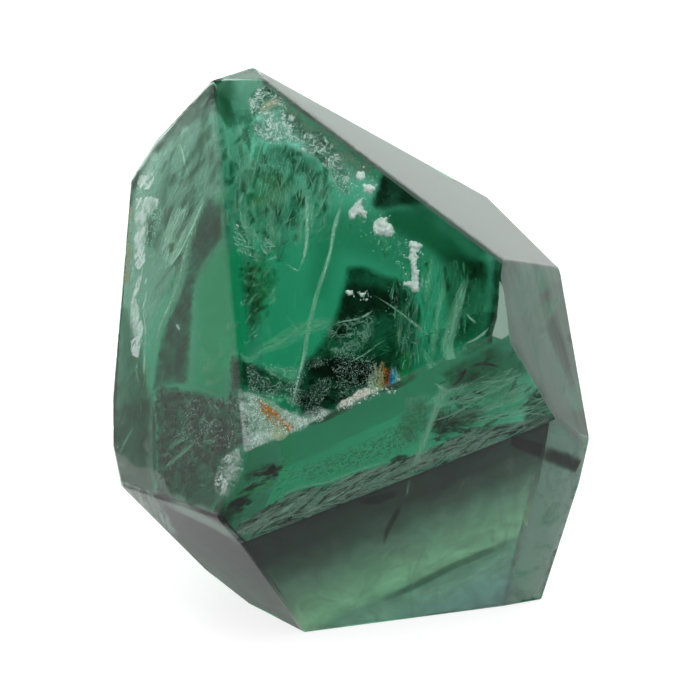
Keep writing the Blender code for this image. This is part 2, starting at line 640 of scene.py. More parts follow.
def polished_fluorite():
    """Clear fluorite, polished on a soft lap: glassy, faintly wavy and scratched, and greener with depth."""
    material, tree = new_material("polished_green_fluorite")
    place = node(tree, "ShaderNodeTexCoord").outputs["Object"]
    waves = node(tree, "ShaderNodeTexNoise", Vector=place, Scale=1.0 / (POLISH_WAVE_MM * MM), Detail=2.0)
    lines = node(tree, "ShaderNodeTexNoise", Vector=place, Scale=1.0 / (POLISH_SCRATCH_MM * MM), Detail=2.0)
    relief = node(tree, "ShaderNodeBump", Height=waves.outputs["Fac"], Strength=0.06, Distance=0.6 * MM)
    smear = node(tree, "ShaderNodeMapRange", Value=lines.outputs["Fac"],
                 From_Min=0.45, From_Max=0.75, To_Min=0.0, To_Max=0.06)
    shader = node(tree, "ShaderNodeBsdfPrincipled", Base_Color=WHITE, Roughness=smear.outputs["Result"],
                  IOR=FLUORITE_IOR, Transmission_Weight=1.0, Normal=relief.outputs["Normal"])
    depth = node(tree, "ShaderNodeVolumeAbsorption", Color=linear("#43d6bd"), Density=83.05)
    node(tree, "ShaderNodeOutputMaterial", Surface=shader.outputs[0], Volume=depth.outputs[0])
    return material


def milky_surface(tree, milk, share, through=0.5, passed=WHITE):
    """A sheet that scatters a share of the light, a part of it forwards, and colours what it lets through."""
    front = node(tree, "ShaderNodeBsdfDiffuse", Color=milk).outputs[0]
    back = node(tree, "ShaderNodeBsdfTranslucent", Color=milk).outputs[0]
    lit = node(tree, "ShaderNodeMixShader", Fac=through, i1=front, i2=back).outputs[0]
    clear = node(tree, "ShaderNodeBsdfTransparent", Color=passed).outputs[0]
    whole = node(tree, "ShaderNodeMixShader", Fac=share, i1=clear, i2=lit).outputs[0]
    node(tree, "ShaderNodeOutputMaterial", Surface=whole)


def veil(name, milk, tint="#ffffff", amount=1.0, grain=2.0, stretch=1.0, lean=90.0, low=0.4, high=0.7,
         even=0.0, hairs=0.0, thick=0.05, grit=0.0, rag=0.8, through=0.5, soft=False):
    """A veil of tiny healed cracks, clear between them.

    milk is the colour that it scatters, and tint the colour that it lets through. amount is how much it
    scatters where it is full, and even how much it tints between its patches. grain is the patch size in
    millimetres, stretched along lean, in degrees up from level. Patches begin at low in the noise and are
    full at high. hairs breaks them into lines thick wide, grit into grains, and rag their edges. through is
    how much of what it scatters goes on forwards. soft spreads its edges wide.
    """
    material, tree = new_material(name)
    fade = node(tree, "ShaderNodeAttribute", FADE).outputs["Fac"]
    flat = node(tree, "ShaderNodeAttribute", GRAIN).outputs["Vector"]
    turned = node(tree, "ShaderNodeMapping", {"vector_type": "TEXTURE"}, Vector=flat,
                  Rotation=(0, 0, math.radians(lean - 90.0)), Scale=(grain, grain * stretch, 1.0)).outputs[0]
    cloud = node(tree, "ShaderNodeTexNoise", Vector=turned, Scale=1.0, Detail=8.0, Roughness=0.62,
                 Distortion=0.4).outputs["Fac"]
    mask = node(tree, "ShaderNodeMapRange", SMOOTH, Value=cloud, From_Min=low, From_Max=high).outputs[0]
    if hairs:
        thin = node(tree, "ShaderNodeTexNoise", Vector=turned, Scale=1.7, Detail=5.0, Roughness=0.55,
                    Distortion=0.9).outputs["Fac"]
        off = node(tree, "ShaderNodeMath", {"operation": "SUBTRACT"}, i0=thin, i1=0.5).outputs[0]
        gap = node(tree, "ShaderNodeMath", {"operation": "ABSOLUTE"}, i0=off).outputs[0]
        line = node(tree, "ShaderNodeMapRange", Value=gap, From_Min=0.1 * thick, From_Max=thick, To_Min=1.0,
                    To_Max=1.0 - hairs).outputs["Result"]
        mask = node(tree, "ShaderNodeMath", TIMES, i0=mask, i1=line).outputs[0]
    if grit:
        grains = node(tree, "ShaderNodeTexNoise", Vector=flat, Scale=1.0 / VEIL_GRIT_MM, Detail=3.0,
                      Roughness=0.7).outputs["Fac"]
        sharp = node(tree, "ShaderNodeMapRange", Value=grains, From_Min=0.44, From_Max=0.56,
                     To_Min=1.0 - grit, To_Max=1.0).outputs["Result"]
        mask = node(tree, "ShaderNodeMath", TIMES, i0=mask, i1=sharp).outputs[0]
    torn = node(tree, "ShaderNodeMath", TIMES_PLUS, i0=cloud, i1=rag, i2=-rag / 2).outputs[0]
    left = node(tree, "ShaderNodeMath", PLUS, i0=fade, i1=torn).outputs[0]
    edge = node(tree, "ShaderNodeMapRange", SMOOTH, Value=left, From_Min=0.0 if soft else 0.15,
                From_Max=1.0 if soft else 0.7).outputs["Result"]
    shaped = node(tree, "ShaderNodeMath", TIMES, i0=mask, i1=edge).outputs[0]
    milky = node(tree, "ShaderNodeMath", TIMES, i0=shaped, i1=amount).outputs[0]
    base = node(tree, "ShaderNodeMath", TIMES, i0=edge, i1=even).outputs[0]
    tinted = node(tree, "ShaderNodeMath", {"operation": "MAXIMUM"}, i0=shaped, i1=base).outputs[0]
    passed = node(tree, "ShaderNodeMix", COLOURS, i0=tinted, i6=WHITE, i7=linear(tint)).outputs[2]
    milky_surface(tree, linear(milk), milky, through, passed)
    return material


def chalky(name, code, rough, mottle):
    """White cleavage flake: a bright scattering surface, with painted shade that greys its hollows."""
    material, tree = new_material(name)
    place = node(tree, "ShaderNodeTexCoord").outputs["Object"]
    spots = node(tree, "ShaderNodeTexNoise", Vector=place, Scale=1.0 / (CHALK_GRAIN_MM * MM), Detail=4.0,
                 Roughness=0.6).outputs["Fac"]
    colour = linear(code)
    # Painted shade: the colour greys where the bump is low, in the flake's hollows.
    dark = tuple(c * (1.0 - mottle) for c in colour[:3]) + (1.0,)
    shade = node(tree, "ShaderNodeMix", COLOURS, i0=spots, i6=dark, i7=colour).outputs[2]
    relief = node(tree, "ShaderNodeBump", Height=spots, Strength=0.5, Distance=0.1 * MM).outputs["Normal"]
    shader = node(tree, "ShaderNodeBsdfPrincipled", Base_Color=shade, Roughness=rough, Normal=relief)
    node(tree, "ShaderNodeOutputMaterial", Surface=shader.outputs[0])
    return material


def colour_run(tree, place, stops):
    """A colour ramp through hex colours."""
    ramp = node(tree, "ShaderNodeValToRGB", Fac=place)
    while len(ramp.color_ramp.elements) < len(stops):
        ramp.color_ramp.elements.new(0.5)
    for element, (position, code) in zip(ramp.color_ramp.elements, stops):
        element.position = position
        element.color = linear(code)
    return ramp.outputs["Color"]


def fiery_crack(name, stops):
    """An air-thin crack, with the spectral colours that such a crack splits from light painted in bands across
    its width.
    """
    material, tree = new_material(name)
    fade = node(tree, "ShaderNodeAttribute", FADE).outputs["Fac"]
    across = node(tree, "ShaderNodeAttribute", ACROSS).outputs["Fac"]
    flat = node(tree, "ShaderNodeAttribute", GRAIN).outputs["Vector"]
    grit = node(tree, "ShaderNodeTexNoise", Vector=flat, Scale=1.0 / CRACK_GRIT_MM, Detail=6.0, Roughness=0.7)
    worn = node(tree, "ShaderNodeMapRange", Value=grit.outputs["Fac"], From_Min=0.42, From_Max=0.56,
                To_Min=0.1, To_Max=1.0).outputs["Result"]
    share = node(tree, "ShaderNodeMath", TIMES, i0=fade, i1=worn).outputs[0]
    milky_surface(tree, colour_run(tree, across, stops), share)
    return material


def zoned_milk(name, share, stops):
    """Milky fluorite, banded as it grew: straight colour zones one after another, with a little drift."""
    material, tree = new_material(name)
    fade = node(tree, "ShaderNodeAttribute", FADE).outputs["Fac"]
    across = node(tree, "ShaderNodeAttribute", ACROSS).outputs["Fac"]
    flat = node(tree, "ShaderNodeAttribute", GRAIN).outputs["Vector"]
    cloud = node(tree, "ShaderNodeTexNoise", Vector=flat, Scale=1.0 / ZONE_CLOUD_MM, Detail=4.0,
                 Roughness=0.5).outputs["Fac"]
    drift = node(tree, "ShaderNodeMath", TIMES_PLUS, i0=cloud, i1=ZONE_DRIFT * 2, i2=-ZONE_DRIFT).outputs[0]
    shifted = node(tree, "ShaderNodeMath", PLUS, i0=across, i1=drift).outputs[0]
    milky = node(tree, "ShaderNodeMath", TIMES, i0=fade, i1=share).outputs[0]
    curls = node(tree, "ShaderNodeTexNoise", Vector=flat, Scale=1.0 / ZONE_CURL_MM, Detail=6.0,
                 Distortion=1.5).outputs["Fac"]
    tone = node(tree, "ShaderNodeMapRange", Value=curls, From_Min=0.3, From_Max=0.7, To_Min=0.82,
                To_Max=1.18).outputs["Result"]
    toned = node(tree, "ShaderNodeVectorMath", {"operation": "SCALE"}, i0=colour_run(tree, shifted, stops),
                 Scale=tone).outputs[0]
    milky_surface(tree, toned, milky)
    return material


def lit_acrylic():
    """Lit white acrylic: bright to the camera, and dimmer in front for what the stone gathers from it."""
    material, tree = new_material("lit_white_acrylic")
    seen = node(tree, "ShaderNodeLightPath").outputs["Is Camera Ray"]
    place = node(tree, "ShaderNodeTexCoord").outputs["Object"]
    along = node(tree, "ShaderNodeSeparateXYZ", Vector=place).outputs["Y"]
    rear = node(tree, "ShaderNodeMapRange", SMOOTH, Value=along, From_Min=-12.0 * MM, From_Max=14.0 * MM,
                To_Min=0.48, To_Max=1.7).outputs["Result"]
    near = node(tree, "ShaderNodeMapRange", SMOOTH, Value=along, From_Min=-65.0 * MM, From_Max=-30.0 * MM,
                To_Min=0.35, To_Max=1.0).outputs["Result"]
    gathered = node(tree, "ShaderNodeMath", TIMES, i0=rear, i1=near).outputs[0]
    strength = node(tree, "ShaderNodeMix", {"data_type": "FLOAT"}, i0=seen, i2=gathered, i3=0.80).outputs[0]
    lit = node(tree, "ShaderNodeEmission", Color=WHITE, Strength=strength).outputs[0]
    matt = node(tree, "ShaderNodeBsdfDiffuse", Color=linear("#898989")).outputs[0]
    both = node(tree, "ShaderNodeAddShader", i0=lit, i1=matt).outputs[0]
    node(tree, "ShaderNodeOutputMaterial", Surface=both)
    return material


# ---------------------------------------------------------------- the looks of what lies inside

# One unbroken thread or patch, with soft edges.
UNBROKEN = dict(low=-1.0, high=0.0, rag=0.0, soft=True)

VEILS = {
    # Milky fluorite deep in the stone: white, so that the green above it gives its colour.
    "deep_cloud": dict(milk="#e6fffa", grain=14.0, low=0.0, high=0.3, rag=0.0),
    "pale_cloud": dict(milk="#f2fbf5", grain=14.0, low=0.0, high=0.3, rag=0.0, through=0.4),
    # Even tints: they scatter nothing and only colour what passes. green_glass is a green colour zone; the two
    # shade tints are painted shade, dimming the green where it looks darker.
    "green_glass": dict(milk="#3f9f78", tint="#98ffe9", amount=0.0, even=1.0, **UNBROKEN),
    "light_shade": dict(milk="#12402a", tint="#c4dcd0", amount=0.0, even=1.0, **UNBROKEN),
    "faint_shade": dict(milk="#12402a", tint="#9cb6a8", amount=0.0, even=0.55, **UNBROKEN),
    # A thin milky veil: pale and soft, it greys the green behind it.
    "flank_haze": dict(milk="#b9d0c3", amount=0.42, grain=4.0, stretch=2.5, lean=72, low=0.1, high=0.75,
                       soft=True, through=0.3),
    "milky_veil": dict(milk="#c4dccf", amount=0.78, grain=4.0, stretch=2.0, lean=78, low=0.28, high=0.68,
                       soft=True, through=0.3),
    "soft_milk": dict(milk="#c4e4d0", amount=0.6, grain=1.2, stretch=4.0, lean=68, low=0.25, soft=True,
                      through=0.2),
    "olive_milk": dict(milk="#7fa06a", tint="#c6d2ac", amount=0.28, low=0.3, even=0.25, soft=True,
                       through=0.3),
    "rosy_rim": dict(milk="#b9b18c", amount=0.7, grain=2.5, low=0.2, high=0.6),
    # Smoky colour zones, and tints of painted shade: they take light away and scatter hardly any.
    # A smoky colour zone in the window's dark patches, and painted shade on its right edge, the flank's rim and
    # the band's gloom.
    "smoke_and_painted_shade": dict(milk="#1d2a24", tint="#5a7a69", amount=0.2, grain=2.4, low=0.2, high=0.6, even=0.85,
                       rag=0.5, soft=True),
    "deep_smoke": dict(milk="#141d19", tint="#354a40", amount=0.3, low=0.2, high=0.6, even=0.85, rag=0.5,
                       soft=True),
    # Painted shade: this green tint and the dark green one after it dim the window where it looks darker.
    "green_shade": dict(milk="#1c5a3c", tint="#6f9581", amount=0.15, grain=4.0, low=0.3, high=0.65, even=0.6,
                        rag=0.5, soft=True),
    "painted_green_shade": dict(milk="#12402a", tint="#7fa892", amount=0.0, grain=3.0, low=0.3, even=0.9, rag=0.4,
                        soft=True),
    "green_mottles": dict(milk="#12402a", tint="#8fb39e", amount=0.08, grain=1.6, stretch=1.8, lean=80,
                          low=0.42, high=0.64, soft=True),
    # Painted shade: a grey-green tint that dims the left flank where it looks darker, along its crease.
    "painted_grey_green_shade": dict(milk="#4e6458", tint="#7d978a", amount=0.35, grain=3.5, low=0.3, high=0.65,
                            even=0.55, rag=0.5, soft=True),
    "mottled_zone": dict(milk="#66645f", tint="#74817a", amount=0.6, grain=1.3, low=0.42, high=0.6, even=0.45,
                         rag=1.0, soft=True),
    "brown_haze": dict(milk="#7c8a6c", tint="#b4b5a0", amount=0.2, grain=1.6, low=0.3, high=0.65, even=0.4,
                       soft=True),
    "brown_smoke": dict(milk="#5a5657", tint="#a39fa0", amount=0.0, even=0.2, **UNBROKEN),
    "warm_haze": dict(milk="#b3b2a2", tint="#a3a598", amount=0.6, grain=1.2, low=0.34, high=0.66, grit=0.6,
                      even=0.4, through=0.2, soft=True),
    "smoky_stripe": dict(milk="#2c2a2b", tint="#646a69", amount=0.45, grain=5.0, low=0.1, high=0.4, even=0.8,
                         rag=0.4, soft=True),
    # Sugary frost on a crack: white grains with gaps between them.
    "sugar_veil": dict(milk="#ffffff", tint="#6f8a7c", grain=1.9, low=0.38, high=0.56, hairs=1.0, thick=0.08,
                       grit=0.3, even=0.5, rag=1.0, soft=True, through=0.1),
    "warm_sugar": dict(milk="#f0dfc2", tint="#b9b09a", grain=1.2, low=0.3, high=0.5, hairs=0.6, grit=0.4,
                       rag=1.2, through=0.1),
    "ice_frost": dict(milk="#ffffff", tint="#c4dcd2", grain=2.2, low=0.25, high=0.72, grit=0.55, even=0.3,
                      rag=0.9, soft=True, through=0.1),
    "bright_veil": dict(milk="#ffffff", tint="#d5ded8", grain=0.9, stretch=3.0, lean=78, low=0.34, high=0.52,
                        grit=0.3, rag=1.2, through=0.1),
    "cotton": dict(milk="#f4e8de", tint="#c9beb4", grain=0.7, low=0.36, high=0.5, grit=0.4, rag=1.6,
                   through=0.1),
    # Fine healed cracks: one by one they show as pale or dark threads.
    "soft_wisp": dict(milk="#b4dcc6", amount=0.36, through=0.3, **UNBROKEN),
    "fine_wisp": dict(milk="#bfe6d0", amount=0.65, through=0.3, **UNBROKEN),
    "bright_hair": dict(milk="#dcf5e6", amount=0.9, through=0.2, **UNBROKEN),
    "green_hair": dict(milk="#74c79b", amount=0.65, **UNBROKEN),
    "grey_hair": dict(milk="#bcc9c0", amount=0.7, through=0.2, **UNBROKEN),
    "grey_wisp": dict(milk="#a9bfb2", amount=0.25, **UNBROKEN),
    "grey_line": dict(milk="#5f7468", tint="#7d8f86", amount=0.5, **UNBROKEN),
    "dark_thread": dict(milk="#123524", tint="#7fa692", amount=0.06, even=0.6, **UNBROKEN),
    "black_thread": dict(milk="#1c2420", tint="#4a5a52", amount=0.35, even=0.7, **UNBROKEN),
    "smoke_line": dict(milk="#7c8a84", tint="#bcc6c1", amount=0.0, even=0.16, **UNBROKEN),
    "undercut_strip": dict(milk="#b4ccc0", amount=0.75, through=0.2, **UNBROKEN),
    "scale_loops": dict(milk="#b8dcc8", amount=0.5, low=0.2, high=0.5, hairs=1.0, thick=0.06, soft=True,
                        through=0.2),
    "pale_feather": dict(milk="#b9dcc4", tint="#d5e4da", amount=0.85, grain=0.5, stretch=5.0, low=0.25,
                         high=0.6, hairs=0.4, rag=0.4),
    "leaf_green": dict(milk="#3fbf74", amount=0.5, grain=0.8, stretch=4.0, low=0.2, high=0.6, rag=0.4),
    # Larger healed cracks, seen nearly edge on: milky strands and rays, with breaks along them.
    "pale_strand": dict(milk="#bfe8ce", amount=0.9, grain=0.3, stretch=2.5, low=0.1, high=0.6, rag=0.5,
                        grit=0.85, soft=True, through=0.2),
    "bright_strand": dict(milk="#e2fff0", grain=0.3, stretch=2.0, low=0.2, high=0.6, rag=0.5, grit=0.6,
                          soft=True, through=0.3),
    "needle_crack": dict(milk="#d4f2e0", amount=0.8, grain=0.4, stretch=2.0, low=0.2, high=0.6, rag=0.3,
                         grit=0.4, soft=True, through=0.3),
    "soft_ray": dict(milk="#9fdcba", amount=0.6, grain=0.5, stretch=8.0, low=0.2, high=0.65, rag=0.3,
                     soft=True, through=0.3),
    "bright_ray": dict(milk="#b4e6c8", amount=0.8, grain=0.5, stretch=9.0, low=0.2, high=0.65, rag=0.3,
                       soft=True, through=0.3),
    # Iron stains on healed cracks: orange, and paler yellow where they thin.
    "iron_stain": dict(milk="#dc8238", tint="#e0b080", grain=0.9, low=-0.1, high=0.6, grit=0.4, soft=True,
                       through=0.1),
    "yellow_stain": dict(milk="#f2ecc4", tint="#ece8c4", amount=0.7, grain=0.8, low=0.0, high=0.6, grit=0.5,
                         soft=True, through=0.1),
    # Growth bands cut across: grey lines and pepper, all one way.
    "striated_veil": dict(milk="#bcc4be", tint="#7f8a83", amount=0.7, grain=0.45, stretch=10.0, lean=27,
                          low=0.36, high=0.64, even=0.7, grit=0.35, through=0.2),
    "peppery_veil": dict(milk="#9cc4aa", tint="#8fab9b", amount=0.4, grain=0.5, stretch=1.5, lean=27,
                         low=0.42, high=0.6, even=0.1, grit=0.7, soft=True),
    # Milky skins under whole facets: each dulls its facet to one calm grey.
    "milky_blotches": dict(milk="#a6b1ac", tint="#98a8a0", amount=0.9, grain=3.2, low=0.1, high=0.55,
                           even=0.85),
    "shoulder_veil": dict(milk="#a8aaa8", tint="#8d9d95", amount=0.8, grain=4.0, stretch=7.0, lean=80,
                          low=0.1, high=0.6, even=0.8),
    "roof_veil": dict(milk="#7a8680", tint="#8d9d95", amount=0.75, grain=9.0, low=0.0, high=0.4, even=0.9),
    "crown_veil": dict(milk="#6f8a7b", tint="#7d9488", amount=0.75, grain=3.0, stretch=2.0, low=0.1, high=0.6,
                       even=0.8),
    # An unpolished chip: ground and matt, nearly white.
    "unpolished_chip": dict(milk="#cfe0d7", tint="#c0d0c7", amount=0.95, grain=3.0, low=0.0, high=0.2),
}

# Chalky looks: colour, roughness and how much painted shade greys their hollows.
CHALKS = {
    "white_flake": ("#fbfdfb", 0.85, 0.18),
    "sugar_frost": ("#fcfffd", 0.35, 0.1),
    "ice_crumb": ("#c8f4e6", 0.3, 0.1),
    "green_crumb": ("#9fd8b6", 0.5, 0.1),
    "dark_crumb": ("#1f3a2c", 0.5, 0.1),
}

# Painted interference colours of the fire crack, across its width.
SPECTRAL_BANDS = (
    (0.0, "#f4fbee"), (0.28, "#efe7c0"), (0.40, "#e8c98a"), (0.50, "#d8792c"), (0.58, "#c2501c"),
    (0.65, "#4a8ce0"), (0.74, "#3fd8ff"), (0.86, "#ecfff8"), (1.0, "#5fd08a"),
)
LOWER_ZONES = (
    (0.0, "#2f2c30"), (0.20, "#3c4443"), (0.31, "#5c6d64"), (0.40, "#8a9f91"), (0.50, "#a6c0a8"),
    (0.61, "#c8e6c6"), (0.665, "#b4d4b8"), (0.70, "#94b4a4"), (0.76, "#b0ccbe"), (0.86, "#a2bebc"),
    (1.0, "#94a8a8"),
)
UNDERCUT_ZONES = ((0.0, "#1f2020"), (0.3, "#232625"), (0.6, "#4d5752"), (0.8, "#66736c"), (1.0, "#5c6762"))


def mix_looks():
    """Every look of what lies inside, by name."""
    looks = {name: veil(name, **settings) for name, settings in VEILS.items()}
    looks |= {name: chalky(name, *settings) for name, settings in CHALKS.items()}
    looks["spectral_crack"] = fiery_crack("spectral_crack", SPECTRAL_BANDS)
    looks["zoned_milk"] = zoned_milk("zoned_milk", 0.98, LOWER_ZONES)
    looks["undercut_milk"] = zoned_milk("undercut_milk", 1.0, UNDERCUT_ZONES)
    return looks


# ---------------------------------------------------------------- what lies inside

# An outline is a course of spots of the view. A strand's course gives its width after each spot. Depths are
# millimetres behind the facet.

# name, look, depth, fade in points, outline
WINDOW_SHEETS = (
    ("cloud_window", "deep_cloud", 21.0, 7.0,
     "214,90 226,72 262,72 330,126 424,184 512,252 512,300 508,346 430,384 330,424 250,458 240,452 234,390 "
     "228,300 220,200"),
    ("milk_upper_left", "milky_veil", 7.0, 18.0,
     "224,140 250,150 300,158 326,176 330,215 300,250 262,262 238,240 228,180"),
    ("smoke_under_roof", "deep_smoke", 5.0, 7.0,
     "382,168 396,164 438,200 424,206 402,209 384,212 367,210 371,194 376,182"),
    ("smoke_patch", "smoke_and_painted_shade", 5.0, 9.0,
     "344,264 362,262 386,272 408,280 420,300 422,340 414,374 396,388 350,388 308,380 300,362 318,340 "
     "332,314 340,288"),
    ("smoke_core", "smoke_and_painted_shade", 5.8, 12.0,
     "344,276 378,280 404,290 402,318 372,322 350,342 322,350 332,318"),
    ("smoke_low", "deep_smoke", 4.2, 12.0,
     "300,356 334,350 372,352 392,362 388,384 360,398 342,412 318,424 298,420 286,400 292,376"),
    ("smoke_left", "smoke_and_painted_shade", 5.0, 9.0, "236,352 258,362 285,374 300,378 298,402 262,398 236,388"),
    # Painted shade, from here to the crown's row: dark tints that dim the window where it looks darker.
    ("shade_column", "green_shade", 6.0, 14.0, "237,258 258,264 268,300 260,335 246,342 240,300"),
    ("shade_arch", "green_shade", 5.0, 9.0,
     "262,138 300,146 322,156 328,176 322,190 306,182 282,172 262,166"),
    ("shade_right", "green_shade", 6.0, 14.0, "430,240 497,258 496,300 488,338 462,352 446,340 440,290"),
    ("shade_edge", "smoke_and_painted_shade", 4.0, 9.0,
     "488,252 514,256 512,300 512,342 498,350 478,338 486,310 488,285"),
    ("shade_roof_edge", "painted_green_shade", 3.4, 14.0,
     "258,66 340,112 440,180 520,250 480,266 430,228 360,182 300,142 258,108"),
    ("painted_shade_upper_right", "painted_green_shade", 5.4, 16.0, "372,200 420,196 496,262 488,290 450,280 420,252 384,236"),
    ("painted_crown_shadow", "painted_green_shade", 2.2, 5.0, "210,86 226,66 270,72 276,92 254,124 226,132 214,110"),
    ("haze_roof", "warm_haze", 1.6, 8.0,
     "276,84 310,98 340,118 366,140 384,166 360,184 334,180 320,160 298,144 282,124"),
    ("frost_veil_1", "sugar_veil", 1.6, 5.0, "246,98 256,86 268,82 280,90 288,104 270,118 250,118"),
    ("frost_veil_2", "sugar_veil", 1.5, 5.0,
     "252,122 266,112 286,110 302,116 308,132 300,146 284,144 262,144 252,134"),
    ("frost_veil_4", "sugar_veil", 1.6, 5.0,
     "298,130 320,128 338,148 350,172 352,196 338,196 328,172 312,160 298,152"),
    ("warm_frost", "warm_sugar", 1.5, 3.0, "255,112 262,102 274,96 284,97 278,107 262,115"),
    ("frost_corner", "ice_frost", 1.4, 5.0,
     "236,384 262,396 285,408 300,414 312,404 336,410 334,424 300,440 268,452 240,460"),
    ("dark_mottles", "green_mottles", 4.0, 14.0, "236,236 290,232 296,262 270,300 256,350 243,350 240,300"),
    ("dark_mottles_top", "green_mottles", 4.6, 14.0,
     "232,100 262,110 300,150 340,180 330,230 290,236 250,230 234,190"),
    ("olive_patch", "olive_milk", 3.0, 16.0, "244,166 284,162 296,190 282,216 246,214"),
    ("olive_column", "olive_milk", 4.0, 16.0, "238,256 272,256 280,290 266,330 242,330"),
    ("scales", "scale_loops", 2.4, 5.0, "322,330 348,314 378,312 374,340 354,358 330,356"),
    ("fluff_1", "cotton", 0.8, 3.0,
     "334,410 340,400 350,396 362,386 372,387 372,397 360,402 350,407 340,413"),
    ("fluff_2", "cotton", 1.3, 3.0,
     "338,408 346,398 360,390 380,388 396,386 397,392 380,397 360,400 346,407"),
    # Painted shade: tints that dim the emerald's upper part, the window's right side and the crown's shadow.
    ("emerald_shade", "light_shade", 4.0, 24.0,
     "316,200 372,196 430,196 470,250 430,290 392,280 346,262 330,310 300,300 300,240"),
    ("right_shade", "light_shade", 4.4, 20.0, "440,220 500,250 512,290 508,345 470,360 440,350 432,290"),
    ("crown_shade", "faint_shade", 3.0, 14.0, "206,96 216,66 236,66 244,92 238,120 220,128"),
)

# name, look, depth, course
WINDOW_STRANDS = (
    ("strand_left", "pale_strand", 2.4,
     "305,186,2.4 306,200,4 307,215,5.5 307,235,5 305,252,5 302,262,5 298,271,2.4"),
    ("strand_foot", "pale_strand", 2.3, "287,264,1.5 292,268,2.5 300,271,3"),
    ("strand_long", "pale_strand", 2.6,
     "344,192,3 342,202,4.6 338,214,6 334,228,6.5 331,248,5 325,270,6 318,290,6 312,314,6 307,336,6 "
     "304,356,5.6 298,380,5 293,402,4.6 290,420,3"),
    ("strand_hook", "pale_strand", 2.2,
     "331,184,1.6 326,196,2 321,207,2 318,214,2.4 314,216,2.4 310,212,1.6"),
    ("dot_line", "pale_strand", 2.2, "324,158,3 330,170,6 334,180,6 342,190,4"),
    ("pale_band", "soft_ray", 2.8, "246,356,8 262,350,14 285,339,20 300,330,20 325,323,16 344,320,6"),
    ("pale_band_hook", "soft_ray", 2.7, "236,350,5 246,360,8 254,358,7 264,348,4"),
    ("pale_band_thread", "needle_crack", 2.0,
     "330,326,1.6 340,322,2.2 352,320,2 362,317,3 368,314,3.6 376,308,1.6"),
    ("needle", "pale_strand", 1.8,
     "372,294,2 382,300,2 394,308,2.6 406,317,3 417,326,4.4 424,332,2.6 434,338,1.4"),
    ("thread_low_2", "needle_crack", 2.1, "346,364,1.2 358,358,1.6 368,352,1.8 378,344,1.6 386,340,1.2"),
    ("green_glow", "leaf_green", 2.6, "408,346,8 406,358,14 403,372,14 398,380,8"),
    ("ray_1", "soft_ray", 2.6, "432,252,3 431,264,6 427,284,7 424,304,4"),
    ("ray_2", "soft_ray", 2.6, "446,268,4 443,282,8 442,294,9 438,312,8 434,340,10 432,366,8"),
    ("ray_3", "bright_ray", 2.4,
     "470,272,4 463,288,12 458,304,14 453,324,15 448,344,16 449,362,14 445,380,10"),
    ("ray_4", "soft_ray", 2.5, "420,344,4 428,360,9 436,372,9 444,380,4"),
    ("window_arc", "needle_crack", 1.0, "490,326,2.5 484,333,3.5 474,340,3 460,346,2"),
    ("arc_small", "needle_crack", 1.4, "466,312,2 470,318,3 478,324,2"),
    ("dark_spot_1", "dark_thread", 3.6, "262,230,7 266,236,9 264,242,7"),
    ("dark_spot_2", "dark_thread", 3.6, "288,158,5 294,162,8 300,164,5"),
    ("dark_arch", "dark_thread", 3.2, "300,151,4 314,153,7 323,160,8 326,172,8 325,188,4"),
    ("stain_halo", "yellow_stain", 1.5, "248,396,10 262,407,22 276,420,30 290,432,26 302,440,14"),
    ("stain_streak", "iron_stain", 1.1, "254,398,2 262,404,5 273,413,8 284,423,7 294,432,9 302,441,6"),
    ("stain_pool", "yellow_stain", 1.3, "270,434,10 280,434,16 292,436,10"),
    ("stain_thread", "iron_stain", 1.1, "258,404,2 268,416,4 280,430,2"),
    ("strand_left_core", "bright_strand", 2.1,
     "306,190,2 307,204,3.6 307,218,4.4 307,236,4 305,252,3.6 302,263,3.2 298,271,1.4"),
    ("strand_long_core", "bright_strand", 2.2,
     "343,196,2 340,208,4 336,222,5 333,234,4.4 331,248,3.4 327,264,2.8 322,280,2.2 317,294,1.2"),
    ("strand_low_core", "bright_strand", 2.2,
     "306,338,1 304,352,1.8 301,368,2.4 297,384,2.6 293,402,2.2 290,416,1.2"),
)

